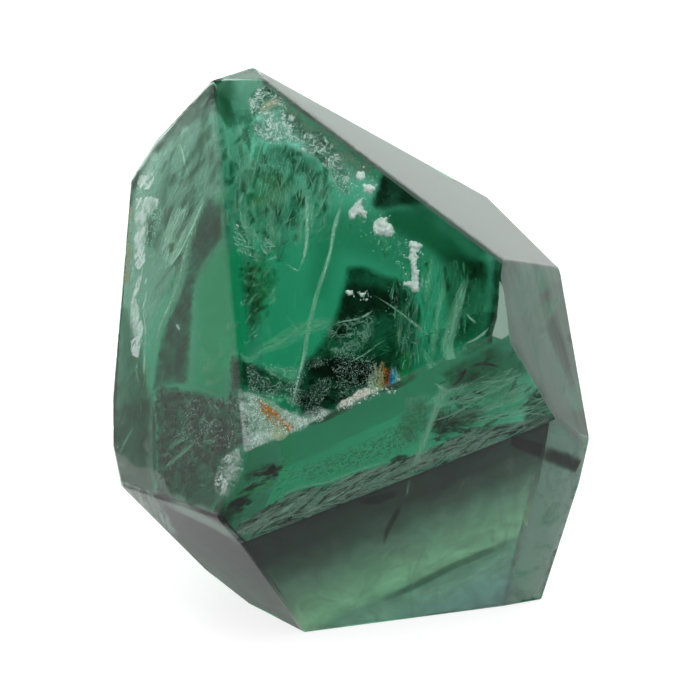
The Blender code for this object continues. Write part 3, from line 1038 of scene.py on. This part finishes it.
# name, look, count, lean and its spread in degrees, lengths, widths, depths, outline
WINDOW_COMBED = (
    ("broad_wisps", "soft_wisp", 60, 86, 9, (18, 60), (6, 16), (2.5, 5.0),
     "224,112 256,104 300,150 334,190 330,236 300,262 240,262 228,180"),
    ("fine_wisps", "fine_wisp", 260, 84, 13, (5, 30), (1.2, 2.6), (2.0, 4.0),
     "224,112 250,112 300,148 334,184 330,226 300,252 236,256 228,180"),
    ("dark_wisps", "dark_thread", 80, 84, 18, (8, 34), (3, 12), (3.5, 5.0),
     "232,112 256,118 300,150 330,176 330,232 296,246 238,250 228,180"),
    ("fan_lines", "bright_hair", 90, -34, 34, (5, 22), (0.9, 1.6), (1.4, 2.0),
     "230,220 246,222 266,232 284,256 262,262 240,258 230,244"),
    ("column_leaves", "dark_thread", 26, 60, 34, (6, 22), (4, 10), (3.5, 4.6),
     "236,262 264,262 272,300 258,340 242,344 239,300"),
    ("column_lights", "fine_wisp", 36, 56, 30, (6, 22), (2, 4), (3.0, 4.0),
     "236,240 270,250 276,300 256,350 242,350"),
    ("emerald_wisps", "soft_wisp", 18, 74, 12, (16, 50), (5, 12), (4.0, 6.0),
     "270,236 400,216 410,280 340,262 300,380 256,380 258,300"),
    ("right_hairs", "green_hair", 150, 83, 6, (10, 52), (1.2, 3.6), (2.0, 4.0),
     "384,282 424,254 466,262 486,290 462,350 414,376 398,356"),
    ("right_gaps", "dark_thread", 34, 82, 10, (12, 44), (3, 9), (3.6, 5.0),
     "384,282 424,262 492,262 492,320 462,352 414,376 398,356"),
    ("right_loops", "green_hair", 70, 30, 60, (4, 14), (1.4, 3.0), (2.4, 3.6),
     "456,284 492,270 494,310 484,338 456,358 452,320"),
    ("smoke_threads", "green_hair", 150, 34, 30, (4, 22), (0.8, 1.6), (2.4, 3.6),
     "318,330 366,306 404,316 414,350 392,366 350,372 312,366"),
    ("smoke_scratches", "fine_wisp", 60, 50, 40, (3, 10), (1.3, 2.0), (1.6, 2.6),
     "330,356 372,344 384,366 360,392 316,400"),
    ("hair_bundle", "fine_wisp", 70, 86, 6, (6, 34), (0.8, 1.5), (1.4, 2.4),
     "386,280 420,292 420,370 396,376 394,320"),
    ("corner_streaks", "bright_hair", 44, 60, 40, (3, 12), (1.4, 2.4), (0.8, 1.2),
     "246,392 270,400 306,420 330,412 300,432 268,444 250,448"),
    ("crack_bars", "black_thread", 26, 88, 4, (6, 20), (0.8, 1.6), (0.9, 1.1),
     "372,360 404,366 406,386 372,394"),
    ("crack_glints", "bright_hair", 30, 88, 5, (5, 18), (0.7, 1.4), (0.7, 0.9),
     "366,366 384,358 406,370 410,384 366,396"),
    ("frost_arcs", "bright_hair", 60, 36, 26, (4, 16), (0.7, 1.4), (0.8, 1.4),
     "250,96 274,84 290,108 306,130 290,142 258,138 252,116"),
    ("frost_arcs_low", "bright_hair", 60, -46, 26, (4, 14), (0.7, 1.3), (0.8, 1.4),
     "298,128 324,134 350,168 352,200 336,196 322,168 300,154"),
    ("upper_threads", "fine_wisp", 150, 80, 16, (6, 30), (0.9, 1.8), (1.0, 1.8),
     "226,120 250,124 262,150 306,160 336,190 330,226 300,250 236,250 228,180"),
)

# name, depth, thickness, outline
WINDOW_FLAKES = (
    ("flake_top", 1.5, 0.7, "356,173 364,171 366,178 360,181 355,178"),
    ("flake_high", 1.5, 0.8, "362,185 370,184 376,188 372,194 364,193"),
    ("flake_winged", 1.6, 1.0,
     "349,213 352,206 359,200 363,197 362,206 367,212 366,219 359,214 354,219 349,219"),
    ("flake_heart", 1.6, 1.2,
     "374,222 379,218 388,216 387,221 392,226 395,234 391,237 383,235 376,236 373,230"),
    ("flake_bow", 1.7, 1.0,
     "408,240 415,241 423,244 421,249 416,253 419,257 417,264 412,266 408,258 410,249"),
    ("flake_stem", 1.8, 1.2,
     "412,262 416,262 417,269 421,268 419,276 420,293 412,293 410,288 403,285 404,282 411,281"),
    ("flake_dot_1", 1.2, 0.6, "345,291 353,290 355,294 349,296"),
    ("flake_dot_2", 1.2, 0.6, "359,293 365,293 364,297 360,297"),
    ("flake_dot_3", 1.2, 0.5, "364,298 367,298 367,301 364,301"),
    ("bright_dot", 0.9, 0.4, "236,225 239,225 240,228 237,229"),
)

# name, look, count, depths, sizes in mm, patchiness, patch size in points, outline
WINDOW_SPECKS = (
    ("frost_upper", "sugar_frost", 260, (0.4, 1.8), (0.05, 0.26), 0.5, 5.0,
     "248,98 266,88 280,94 290,108 276,120 252,118"),
    ("frost_middle", "sugar_frost", 380, (0.4, 1.8), (0.05, 0.28), 0.5, 5.0,
     "254,120 284,114 300,128 296,146 268,144 256,138"),
    ("frost_lower", "sugar_frost", 420, (0.4, 2.0), (0.05, 0.26), 0.48, 5.0,
     "298,132 318,134 340,160 350,190 340,200 328,180 318,162 302,152"),
    ("frost_strays", "sugar_frost", 260, (0.8, 6.0), (0.06, 0.22), 0.0, 14.0,
     "236,120 300,150 360,196 372,240 330,230 250,190"),
    ("crumbs_top", "sugar_frost", 150, (1.0, 2.4), (0.08, 0.36), 0.42, 5.0,
     "348,166 368,164 380,180 376,200 356,204 346,186"),
    ("crumbs_winged", "sugar_frost", 90, (1.2, 2.4), (0.08, 0.34), 0.45, 5.0,
     "344,216 350,200 364,192 372,214 364,224 348,222"),
    ("crumbs_heart", "sugar_frost", 80, (1.2, 2.4), (0.08, 0.34), 0.45, 5.0,
     "368,222 376,212 392,212 399,236 392,242 372,240"),
    ("crumbs_stem", "sugar_frost", 130, (1.2, 2.4), (0.08, 0.34), 0.45, 5.0,
     "402,240 410,234 428,240 426,262 426,292 400,290 398,262"),
    ("crumbs_dots", "sugar_frost", 40, (1.0, 1.8), (0.08, 0.3), 0.4, 5.0, "342,288 370,290 372,302 344,300"),
    ("smoke_sparkle", "sugar_frost", 2600, (1.0, 3.0), (0.04, 0.16), 0.3, 20.0,
     "300,352 330,345 372,350 384,372 372,396 340,412 300,424 288,400"),
    ("left_sparkle", "sugar_frost", 1500, (0.8, 2.4), (0.05, 0.2), 0.35, 16.0,
     "246,362 300,366 302,410 262,402 246,394"),
    ("corner_sugar", "sugar_frost", 1500, (0.5, 1.6), (0.07, 0.28), 0.3, 8.0,
     "246,390 270,400 306,416 332,410 322,421 268,443 250,448"),
    ("cyan_crumbs", "ice_crumb", 120, (1.2, 2.4), (0.1, 0.36), 0.45, 12.0,
     "358,228 382,236 404,240 404,268 434,280 428,292 396,270 364,246"),
    ("right_crumbs", "ice_crumb", 160, (1.2, 3.4), (0.08, 0.3), 0.45, 12.0,
     "384,284 420,296 470,300 476,330 430,360 396,372 386,330"),
    ("fluff_grains", "sugar_frost", 260, (0.7, 1.5), (0.08, 0.4), 0.4, 6.0,
     "336,410 346,398 364,388 396,386 396,392 364,401 342,412"),
    ("strand_sparks_left", "sugar_frost", 60, (1.8, 2.2), (0.05, 0.14), 0.35, 4.0,
     "304,192 310,192 310,236 304,240"),
    ("strand_sparks_long", "sugar_frost", 60, (1.8, 2.2), (0.05, 0.14), 0.35, 4.0,
     "339,194 345,196 337,234 329,236"),
)

FLANK_SHEETS = (
    ("cloud_flank", "pale_cloud", 12.0, 4.0,
     "122,176 166,120 206,76 228,88 234,160 240,260 252,384 252,452 226,528 156,506 110,488 104,440 "
     "112,300"),
    # Painted shade: the rows named shade, and rim_dark, are tints that dim the flank where it looks darker.
    ("rim_shade_top", "smoke_and_painted_shade", 2.0, 8.0,
     "124,186 168,120 206,76 228,84 224,104 210,116 188,130 158,160 136,194"),
    ("milk_flank_top", "milky_veil", 5.0, 14.0,
     "146,172 172,128 206,94 218,112 226,170 226,232 196,262 170,300 150,330 144,240"),
    ("veil_rim_1", "bright_veil", 1.2, 3.0, "137,174 146,174 156,166 157,176 150,190 140,192 136,184"),
    ("veil_rim_2", "bright_veil", 1.2, 3.0,
     "135,197 150,195 160,198 158,208 150,216 148,224 147,240 146,262 140,272 133,268 133,240"),
    ("veil_rim_3", "bright_veil", 1.2, 3.0,
     "130,300 137,296 140,312 145,328 142,340 140,360 131,356 128,326"),
    ("sweep_1", "soft_milk", 1.2, 6.0, "166,208 182,204 184,228 178,252 164,266 158,250"),
    ("sweep_2", "soft_milk", 1.1, 6.0, "186,210 202,202 198,222 188,240 172,268 166,264"),
    ("shade_middle", "painted_grey_green_shade", 2.6, 12.0,
     "204,200 222,206 226,238 202,276 193,340 191,378 172,386 152,386 160,325 178,290 188,250 196,220"),
    ("shade_lower_left", "painted_grey_green_shade", 2.8, 6.0, "104,412 138,398 154,394 156,506 114,492 104,446"),
    ("shade_low", "painted_grey_green_shade", 3.0, 8.0,
     "154,384 196,388 228,398 244,402 238,446 216,506 198,516 155,502"),
    ("mottled_flank", "mottled_zone", 2.4, 8.0,
     "150,380 196,392 228,398 254,400 252,446 200,470 170,506 154,500"),
    ("strip_dark", "mottled_zone", 1.8, 6.0, "230,352 238,356 242,378 242,404 226,404 228,372"),
    ("frost_low_edge", "sugar_veil", 1.0, 4.0, "222,456 243,444 241,462 228,490 218,502 212,484"),
    ("rim_tint", "rosy_rim", 0.8, 3.0, "122,206 134,204 133,240 130,286 121,286 120,240"),
    ("rim_dark", "smoke_and_painted_shade", 0.7, 5.0, "126,168 146,164 139,184 134,208 120,210 124,186"),
    ("trapezoid", "green_glass", 6.0, 10.0,
     "228,234 206,262 196,280 192,300 194,340 190,388 206,394 229,402 230,376 236,352 254,372 252,290 "
     "242,240"),
    ("haze_flank_high", "flank_haze", 1.4, 10.0,
     "130,176 170,120 206,84 230,90 232,150 230,190 204,204 188,244 170,290 158,330 140,340 120,300 "
     "118,240"),
    ("haze_flank_rim", "flank_haze", 2.2, 12.0,
     "118,200 150,170 184,160 186,220 160,300 150,360 150,400 110,440 108,330"),
    ("haze_flank_low", "flank_haze", 1.3, 10.0, "104,380 146,370 156,400 158,500 150,506 104,480"),
    ("shade_slant", "painted_grey_green_shade", 1.7, 5.0,
     "206,194 222,204 224,234 204,264 194,290 192,340 190,384 166,388 151,392 158,340 170,312 180,290 "
     "186,256 196,222"),
    ("shade_rim_low", "faint_shade", 1.1, 10.0, "104,300 128,300 146,350 156,400 157,500 148,506 104,484"),
)

FLANK_STRANDS = (
    ("rim_thread_1", "bright_veil", 1.2, "142,270,5 138,284,6 134,300,7 132,310,8"),
    ("rim_thread_2", "soft_ray", 1.2, "140,352,9 142,368,14 143,388,13 140,404,8 141,420,4 145,438,3"),
    ("rim_line", "grey_line", 0.6, "126,200,5 121,260,5 118,320,6 115,380,6 113,440,6 118,472,5"),
    ("slant_1", "bright_hair", 1.0,
     "208,189,1.4 203,202,2.2 197,216,2.2 190,232,2.2 181,250,2.2 172,264,2.2 168,276,1.2"),
    ("slant_2", "pale_feather", 1.9,
     "200,214,4 192,236,7 184,262,8 178,286,8 172,304,8 162,322,7 155,344,5 150,370,3"),
    ("wedge_line", "bright_hair", 1.0, "178,140,1.6 182,150,2.6 185,164,2.6 190,180,1.4"),
    ("ridge_line", "soft_ray", 1.6, "221,150,4 222,180,5 223,210,5 226,240,4"),
    ("thread_foot", "soft_ray", 1.0, "116,459,1.4 122,448,2.4 128,437,2.2 136,424,1.4"),
    ("dot_flank", "bright_hair", 1.0, "176,323,2 178,327,4 180,331,2"),
    ("teal_slant_1", "soft_ray", 1.2, "160,474,3 172,462,6 186,450,6 200,438,3"),
    ("teal_slant_2", "soft_ray", 1.9, "166,452,3 178,442,6 190,436,3"),
    ("streak_low_1", "soft_ray", 1.2, "208,428,2 213,422,4 218,416,2"),
    ("streak_low_2", "soft_ray", 1.2, "202,441,4 210,442,7 218,440,4"),
    ("tone_edge", "grey_line", 1.6, "153,396,4 154,440,5 155,492,4"),
    ("slant_core", "bright_strand", 1.5,
     "205,196,1.2 198,216,2 189,240,2.6 183,262,2.6 177,286,2.2 168,308,2 160,326,1.8 154,350,1.2"),
)

# The flank's clear part, where its long streaks run.
OPEN_FLANK = (
    "146,172 176,124 212,92 224,130 224,210 200,216 172,280 148,340 140,240"
)

FLANK_COMBED = (
    ("flank_broad", "soft_wisp", 70, 68, 9, (20, 70), (5, 15), (2.4, 5.0),
     "146,172 176,124 206,104 222,130 224,214 196,250 172,300 148,360 140,240"),
    ("flank_fine", "fine_wisp", 250, 68, 9, (6, 36), (1.4, 3.2), (1.8, 3.6),
     "150,168 176,130 216,130 222,180 222,214 196,250 172,300 150,350 144,240"),
    ("flank_gaps", "dark_thread", 36, 68, 10, (12, 46), (3, 9), (3.4, 5.0),
     "150,168 176,130 216,120 224,180 224,214 196,250 172,300 150,350 144,240"),
    ("sweep_lines", "bright_hair", 120, 66, 5, (8, 44), (0.9, 2.0), (1.0, 1.3),
     "166,212 204,196 196,224 180,250 166,276 160,262"),
    ("strip_grains", "pale_feather", 70, 70, 10, (8, 26), (1.4, 3), (1.2, 1.6),
     "196,222 200,224 188,268 178,304 166,310 176,268"),
    ("middle_wisps", "fine_wisp", 44, 72, 16, (8, 30), (2, 5), (2.6, 3.4),
     "206,200 224,214 222,240 196,272 190,350 160,372 168,310"),
    ("rim_lights", "bright_hair", 70, 84, 8, (6, 28), (1.4, 3.0), (0.8, 1.4),
     "132,196 160,200 152,240 146,300 146,340 142,400 128,360 130,260"),
    ("low_lights", "soft_wisp", 130, 48, 20, (4, 20), (1.2, 3.0), (1.2, 2.0),
     "156,384 240,400 241,446 226,500 158,490"),
    ("low_gaps", "dark_thread", 60, 46, 28, (5, 26), (3, 8), (2.4, 3.0),
     "156,384 236,400 236,446 214,500 158,490"),
    ("left_wisps", "soft_wisp", 20, 74, 10, (16, 50), (4, 9), (1.6, 2.8),
     "116,330 148,330 152,400 154,480 124,474 114,440"),
    ("trapezoid_wisps", "soft_wisp", 16, 70, 20, (10, 30), (4, 10), (2.0, 4.0),
     "196,330 240,320 240,360 228,398 196,388"),
    ("flank_streaks", "soft_wisp", 130, 67, 8, (14, 70), (1.6, 6), (0.8, 1.1), OPEN_FLANK),
    # Painted shade: dark streaks that dim the flank between the pale ones.
    ("flank_shadows", "faint_shade", 34, 70, 9, (14, 60), (5, 14), (0.9, 1.1), OPEN_FLANK),
)

FLANK_SPECKS = (
    ("mottled_sparkle", "sugar_frost", 900, (0.8, 2.2), (0.05, 0.22), 0.48, 10.0,
     "186,392 240,398 240,446 206,450 176,440"),
    ("edge_sugar", "sugar_frost", 900, (0.5, 1.4), (0.06, 0.28), 0.35, 8.0,
     "216,470 242,444 240,470 224,500 214,486"),
    ("rim_sugar", "sugar_frost", 420, (0.6, 1.4), (0.06, 0.26), 0.45, 8.0,
     "134,172 160,166 160,220 146,280 142,356 128,350 132,240"),
    ("rim_teal", "ice_crumb", 160, (0.8, 1.6), (0.1, 0.32), 0.4, 6.0,
     "150,206 162,200 160,230 150,250 144,252"),
)

BAND_SHEETS = (
    ("cloud_band", "deep_cloud", 19.0, 3.0,
     "238,446 330,408 420,370 516,328 584,424 552,440 518,452 400,500 320,530 222,564 210,512"),
    ("striated_band", "striated_veil", 1.6, 3.5,
     "216,540 255,514 290,491 330,482 355,472 410,455 446,440 470,426 520,420 570,408 566,432 518,452 "
     "400,500 320,530 226,562"),
    ("speckled_band", "peppery_veil", 2.6, 9.0,
     "282,470 340,450 392,424 410,400 440,400 436,430 400,456 352,472 310,484"),
    ("brown_haze", "brown_haze", 3.0, 18.0, "392,420 414,396 438,396 434,424 420,446 396,452"),
    # Painted shade: the gloom rows and band_right_shade are tints that dim the band where it looks darker.
    ("gloom_right_tip", "smoke_and_painted_shade", 4.0, 9.0, "524,398 548,380 584,412 560,440 516,440"),
    ("gloom_mottled", "smoke_and_painted_shade", 3.4, 14.0, "430,402 470,404 496,414 470,432 436,446 420,430"),
    ("gloom_top", "green_shade", 4.0, 10.0, "436,372 512,326 548,376 500,384 452,394"),
    ("gloom_left", "smoke_and_painted_shade", 3.0, 9.0, "208,512 246,490 254,498 236,524 220,534"),
    ("gloom_left_top", "smoke_and_painted_shade", 3.0, 8.0, "240,474 262,462 286,456 276,472 246,484"),
    ("band_haze", "milky_veil", 5.0, 12.0, "400,396 470,372 512,372 540,400 440,414 404,420"),
    ("band_right_shade", "light_shade", 3.0, 14.0,
     "446,372 490,342 520,348 548,388 552,412 500,430 456,440"),
)

BAND_STRANDS = (
    ("ray_3_in_band", "bright_ray", 1.4,
     "447,378,10 441,396,12 434,414,11 426,436,9 418,456,8 410,478,6 406,492,3"),
    ("band_star", "needle_crack", 1.0, "434,382,2 440,387,4 444,389,5 449,393,2"),
    ("band_bright_left", "leaf_green", 2.2, "238,496,8 252,488,14 266,484,14 280,480,6"),
    ("band_line_1", "soft_ray", 2.0, "440,424,4 470,412,6 500,405,7 530,392,6 548,384,3"),
    ("band_line_2", "soft_ray", 2.0, "460,432,3 496,416,6 524,408,6 548,404,3"),
    ("band_line_3", "soft_ray", 2.1, "500,440,4 524,430,8 548,412,4"),
    ("grey_edge", "soft_ray", 1.3, "256,514,3 290,491,4 330,481,4 356,471,4 410,454,4 446,439,3"),
    ("grey_line_1", "needle_crack", 1.2, "270,520,2 288,508,3.4 300,498,3.4 316,492,2"),
    ("grey_line_2", "needle_crack", 1.2, "296,518,2 320,506,3 340,494,3 356,484,2"),
    ("grey_gap_1", "black_thread", 1.3, "332,500,4 340,494,8 350,486,4"),
    ("grey_gap_2", "black_thread", 1.3, "388,462,4 400,458,8 410,456,4"),
)

# The strip at the band's foot where its growth lines show.
STRIPED_BAND = (
    "222,530 255,514 290,492 330,484 355,474 410,457 446,442 480,428 540,424 518,437 400,484 320,514 "
    "230,546"
)

BAND_COMBED = (
    ("striae_light", "grey_hair", 420, 27, 7, (8, 60), (0.9, 2.2), (1.0, 1.5), STRIPED_BAND),
    ("striae_dark", "black_thread", 240, 27, 9, (8, 50), (1.2, 3.6), (1.1, 1.6), STRIPED_BAND),
    ("fan_light", "fine_wisp", 150, 24, 9, (14, 80), (1.0, 3.4), (1.4, 2.6),
     "420,400 470,380 516,366 560,408 540,424 470,430 424,440"),
    ("fan_broad", "soft_wisp", 14, 22, 8, (30, 80), (5, 12), (2.6, 4.0),
     "420,396 470,378 516,372 560,408 540,420 470,424 424,430"),
    ("fan_dark", "black_thread", 50, 22, 12, (8, 44), (2, 6), (2.0, 3.0),
     "430,384 512,346 560,410 500,440 424,446"),
    ("mottle_dark", "black_thread", 60, 30, 24, (6, 24), (2, 5), (2.0, 3.0),
     "430,404 470,400 496,414 480,438 440,446 420,430"),
    ("left_dark", "black_thread", 60, 26, 10, (8, 34), (3, 8), (1.4, 2.2),
     "222,508 246,478 280,462 290,470 262,486 236,526"),
    ("left_light", "green_hair", 50, 26, 8, (8, 36), (1.4, 3.4), (1.6, 2.4),
     "222,508 246,470 300,452 300,480 262,500 236,530"),
    ("ray_threads", "green_hair", 40, 66, 8, (10, 50), (1.4, 2.6), (1.6, 2.2),
     "440,384 456,384 444,430 420,480 404,490 416,450"),
)

BAND_SPECKS = (
    ("band_pepper", "green_crumb", 800, (1.4, 3.0), (0.04, 0.13), 0.3, 26.0,
     "300,470 340,446 420,430 440,440 410,456 352,474 306,484"),
    ("band_pepper_dark", "dark_crumb", 260, (1.4, 3.0), (0.04, 0.12), 0.3, 22.0,
     "300,470 340,450 400,424 440,404 492,410 470,430 410,456 352,474 306,484"),
    ("striae_glints", "sugar_frost", 260, (0.9, 1.4), (0.05, 0.16), 0.45, 10.0,
     "240,530 300,500 400,462 480,432 500,440 400,482 320,512 250,538"),
)

LOWER_STRANDS = (
    ("dark_wander", "brown_smoke", 0.7, "402,502,5 395,516,8 387,532,7 383,548,4"),
    ("dark_block", "brown_smoke", 0.7, "356,502,6 376,500,12 400,492,8"),
    ("upright_glint", "soft_ray", 0.7, "411,478,2 408,486,4 407,498,2"),
    ("growth_line", "smoke_line", 0.8, "372,604,5 410,588,10 450,568,10 496,548,9 524,534,5"),
    ("smoky_stripe_left", "smoky_stripe", 0.7, "500,436,10 530,447,18 553,455,20 570,462,20"),
)

LOWER_COMBED = (
    ("zone_light", "grey_wisp", 30, 24, 6, (40, 110), (6, 18), (0.7, 0.9),
     "330,590 520,520 540,540 520,590 340,620"),
    ("upright_haze", "grey_wisp", 26, 84, 8, (20, 80), (4, 14), (0.7, 0.9),
     "380,510 520,450 530,560 500,600 400,610"),
)

CORNER_STRANDS = (
    ("smoky_stripe_right", "smoky_stripe", 0.6, "536,450,20 552,456,20 566,461,20 582,468,18 598,476,16"),
)

CORNER_COMBED = (
    ("corner_milk", "grey_wisp", 40, 82, 14, (10, 60), (3, 12), (0.7, 0.9),
     "546,450 584,450 566,590 540,600"),
)

SHOULDER_COMBED = (
    ("shoulder_lines", "grey_wisp", 18, 85, 4, (30, 120), (2, 8), (0.7, 0.9),
     "508,268 556,274 584,420 560,400 512,340"),
)

UNDERCUT_SHEETS = (
    ("undercut_pale", "soft_milk", 0.8, 5.0, "108,478 150,490 164,503 180,534 160,548 124,520"),
)

UNDERCUT_STRANDS = (
    ("undercut_edge", "undercut_strip", 0.7, "156,500,4 180,509,10 200,518,11 221,529,10 242,546,5"),
)

SKIN_DEPTH = 1.0
SKIN_COVER_MM = 0.04

# name, look, facet, points past its edge, depth, step, wave, cover, seed
SKINS = (
    ("milk_lower_window", "zoned_milk", "lower_window", 2.5, SKIN_DEPTH, 6.0, 0.3, SKIN_COVER_MM, 61),
    ("milk_lower_right", "milky_blotches", "lower_right", 2.5, SKIN_DEPTH, 4.0, 0.3, SKIN_COVER_MM, 62),
    ("milk_right_corner", "milky_blotches", "right_corner", 2.5, 0.6, 2.0, 0.05, SKIN_COVER_MM, 65),
    ("veil_shoulder", "shoulder_veil", "right_shoulder", 2.5, SKIN_DEPTH, 5.0, 0.3, SKIN_COVER_MM, 71),
    ("veil_roof", "roof_veil", "roof", 1.0, SKIN_DEPTH, 6.0, 0.1, SKIN_COVER_MM, 72),
    ("veil_crown", "crown_veil", "crown", 0.5, SKIN_DEPTH, 3.0, 0.1, COVER_MM, 75),
    ("veil_undercut", "undercut_milk", "left_undercut", 0.8, SKIN_DEPTH, 6.0, 0.3, COVER_MM, 81),
)

# The spots of the view between which a piece's colour zones or bands run.
ZONE_RUNS = {
    "milk_lower_window": ((330, 495), (403, 648)),
    "veil_undercut": ((205, 512), (285, 628)),
    "fire_crack": ((366, 376), (404, 378)),
}

FIRE_CRACK = outline_of(
    "367,394 366,382 371,372 374,361 378,367 382,358 386,365 390,369 395,366 400,374 405,383 398,388 386,391 "
    "376,395")
CHIP_BY_LENS = outline_of("499,277 503,286 508,312 511,334 502,340 491,336 496,318 498,296")

# A sheet's points lie this far apart: an eighth of its smaller side, within these limits.
FINEST_STEP = 1.5
COARSEST_STEP = 7.0
STEPS_ACROSS = 8.0
FIRST_COMB_SEED = 3


def step_for(outline):
    low, high = box_of(outline)
    return min(COARSEST_STEP, max(FINEST_STEP, min(high.x - low.x, high.y - low.y) / STEPS_ACROSS))


def grow(facet, looks, sheets=(), strands=(), combed=(), flakes=(), grains=()):
    """Places one facet's inner features. A row's place in its table is its seed."""
    for seed, (name, look, *strays, course) in enumerate(combed, FIRST_COMB_SEED):
        filaments(name, facet, outline_of(course), *strays, looks[look], seed)
    for seed, (name, look, depth, fade, course) in enumerate(sheets):
        outline = outline_of(course)
        sheet(name, facet, outline, depth, looks[look], step_for(outline), fade, seed)
    for name, look, depth, course in strands:
        strand(name, facet, course, depth, looks[look])
    for seed, (name, depth, thickness, course) in enumerate(flakes):
        flake(name, facet, outline_of(course), depth, thickness, looks["white_flake"], seed)
    for seed, (name, look, count, depths, sizes, patchy, patch_px, course) in enumerate(grains):
        specks(name, facet, outline_of(course), count, depths, sizes, looks[look], seed, patchy, patch_px)


def mark_across(piece, facet):
    """Notes how far each point of a sheet lies along its zones' run."""
    start, end = (behind(facet, spot, SKIN_DEPTH) for spot in ZONE_RUNS[piece.name])
    run = end - start
    shares = [(vert.co - start).dot(run) / run.length_squared for vert in piece.data.vertices]
    shares = [min(1.0, max(0.0, share)) for share in shares]
    piece.data.attributes.new("across", "FLOAT", "POINT").data.foreach_set("value", shares)


def grow_fire_crack(looks):
    """A small crack by the band's edge, with painted spectral colours."""
    crack = sheet("fire_crack", "main_window", FIRE_CRACK, 1.2, looks["spectral_crack"], step=1.3, fade=2.4,
                  seed=26)
    mark_across(crack, "main_window")


def grow_skins(looks):
    """Veils just under whole facets: milky zoning low down, and thin grey veils on the right and beneath."""
    for name, look, facet, past, depth, step, wave, cover, seed in SKINS:
        outline = facet_outline(facet, past)
        skin = sheet(name, facet, outline, depth, looks[look], step, 0.0, seed, wave, cover, whole=True)
        if name in ZONE_RUNS:
            mark_across(skin, facet)
    sheet("lens_frost", "main_window", CHIP_BY_LENS, 0.4, looks["unpolished_chip"], step=3.0, fade=1.5,
          seed=73, wave=0.05, whole=True)


# ---------------------------------------------------------------- the crystal and the studio

FLOOR_HALF = 1500.0 * MM
FLOOR_DROP = 0.1 * MM

# The studio's lights, by the way that leads to each. Edge and core are cosines of the angle off it.
FLAG_WAY = Vector((-0.264, -0.517, 0.813)).normalized()
SWEEP_WAY = Vector((0.30, 0.94, 0.15)).normalized()
SOFTBOX_WAY = Vector((0.1, 0.4, 0.91)).normalized()

BOUNCES = 24
CLEAR_BOUNCES = 32


def dress_crystal():
    STONE.data.materials.clear()
    STONE.data.materials.append(polished_fluorite())


def build_floor():
    ways = ((-1, -1), (1, -1), (1, 1), (-1, 1))
    corners = [(x * FLOOR_HALF, y * FLOOR_HALF, -FLOOR_DROP) for x, y in ways]
    mesh = bpy.data.meshes.new("floor")
    mesh.from_pydata(corners, [], [(0, 1, 2, 3)])
    mesh.materials.append(lit_acrylic())
    floor = bpy.data.objects.new("floor", mesh)
    bpy.context.scene.collection.objects.link(floor)


def light_towards(tree, way, middle, edge, core, outside, inside):
    """The strength of the light from round one way, between two strengths, with a soft edge."""
    off = node(tree, "ShaderNodeVectorMath", {"operation": "DOT_PRODUCT"}, i0=way, i1=middle).outputs["Value"]
    return node(tree, "ShaderNodeMapRange", SMOOTH, Value=off, From_Min=edge, From_Max=core, To_Min=outside,
                To_Max=inside).outputs["Result"]


def build_studio():
    """Soft light all round, brightest behind. A dark flag in front keeps glare off the windows."""
    world = bpy.data.worlds.new("studio")
    bpy.context.scene.world = world
    world.use_nodes = True
    tree = world.node_tree
    tree.nodes.clear()
    way = node(tree, "ShaderNodeTexCoord").outputs["Generated"]
    flag = light_towards(tree, way, FLAG_WAY, edge=0.93, core=0.985, outside=1.0, inside=0.05)
    sweep = light_towards(tree, way, SWEEP_WAY, edge=0.75, core=0.95, outside=1.0, inside=1.6)
    softbox = light_towards(tree, way, SOFTBOX_WAY, edge=0.60, core=0.9, outside=0.0, inside=3.2)
    dome = node(tree, "ShaderNodeMath", PLUS, i0=sweep, i1=softbox).outputs[0]
    strength = node(tree, "ShaderNodeMath", TIMES, i0=flag, i1=dome).outputs[0]
    seen = node(tree, "ShaderNodeLightPath").outputs["Is Camera Ray"]
    shown = node(tree, "ShaderNodeMix", {"data_type": "FLOAT"}, i0=seen, i2=strength, i3=1.0).outputs[0]
    light = node(tree, "ShaderNodeBackground", Color=WHITE, Strength=shown).outputs[0]
    node(tree, "ShaderNodeOutputWorld", Surface=light)


def build_camera():
    data = bpy.data.cameras.new("camera")
    data.lens = LENS_MM
    data.sensor_width = SENSOR_MM
    data.clip_start = 10.0 * MM
    camera = bpy.data.objects.new("camera", data)
    camera.location = EYE
    camera.rotation_euler = (math.pi / 2 - VIEW_RISE, 0.0, 0.0)
    bpy.context.scene.collection.objects.link(camera)
    bpy.context.scene.camera = camera


def set_light_paths():
    scene = bpy.context.scene
    scene.view_settings.view_transform = "Standard"
    scene.cycles.max_bounces = BOUNCES
    scene.cycles.transmission_bounces = BOUNCES
    scene.cycles.transparent_max_bounces = CLEAR_BOUNCES


dress_crystal()
LOOKS = mix_looks()
grow("main_window", LOOKS, WINDOW_SHEETS, WINDOW_STRANDS, WINDOW_COMBED, WINDOW_FLAKES, WINDOW_SPECKS)
grow("left_flank", LOOKS, FLANK_SHEETS, FLANK_STRANDS, FLANK_COMBED, (), FLANK_SPECKS)
grow("waist_band", LOOKS, BAND_SHEETS, BAND_STRANDS, BAND_COMBED, (), BAND_SPECKS)
grow("lower_window", LOOKS, (), LOWER_STRANDS, LOWER_COMBED)
grow("lower_right", LOOKS, (), CORNER_STRANDS, CORNER_COMBED)
grow("right_shoulder", LOOKS, (), (), SHOULDER_COMBED)
grow("left_undercut", LOOKS, UNDERCUT_SHEETS, UNDERCUT_STRANDS)
grow_fire_crack(LOOKS)
grow_skins(LOOKS)
build_floor()
build_studio()
build_camera()
set_light_paths()
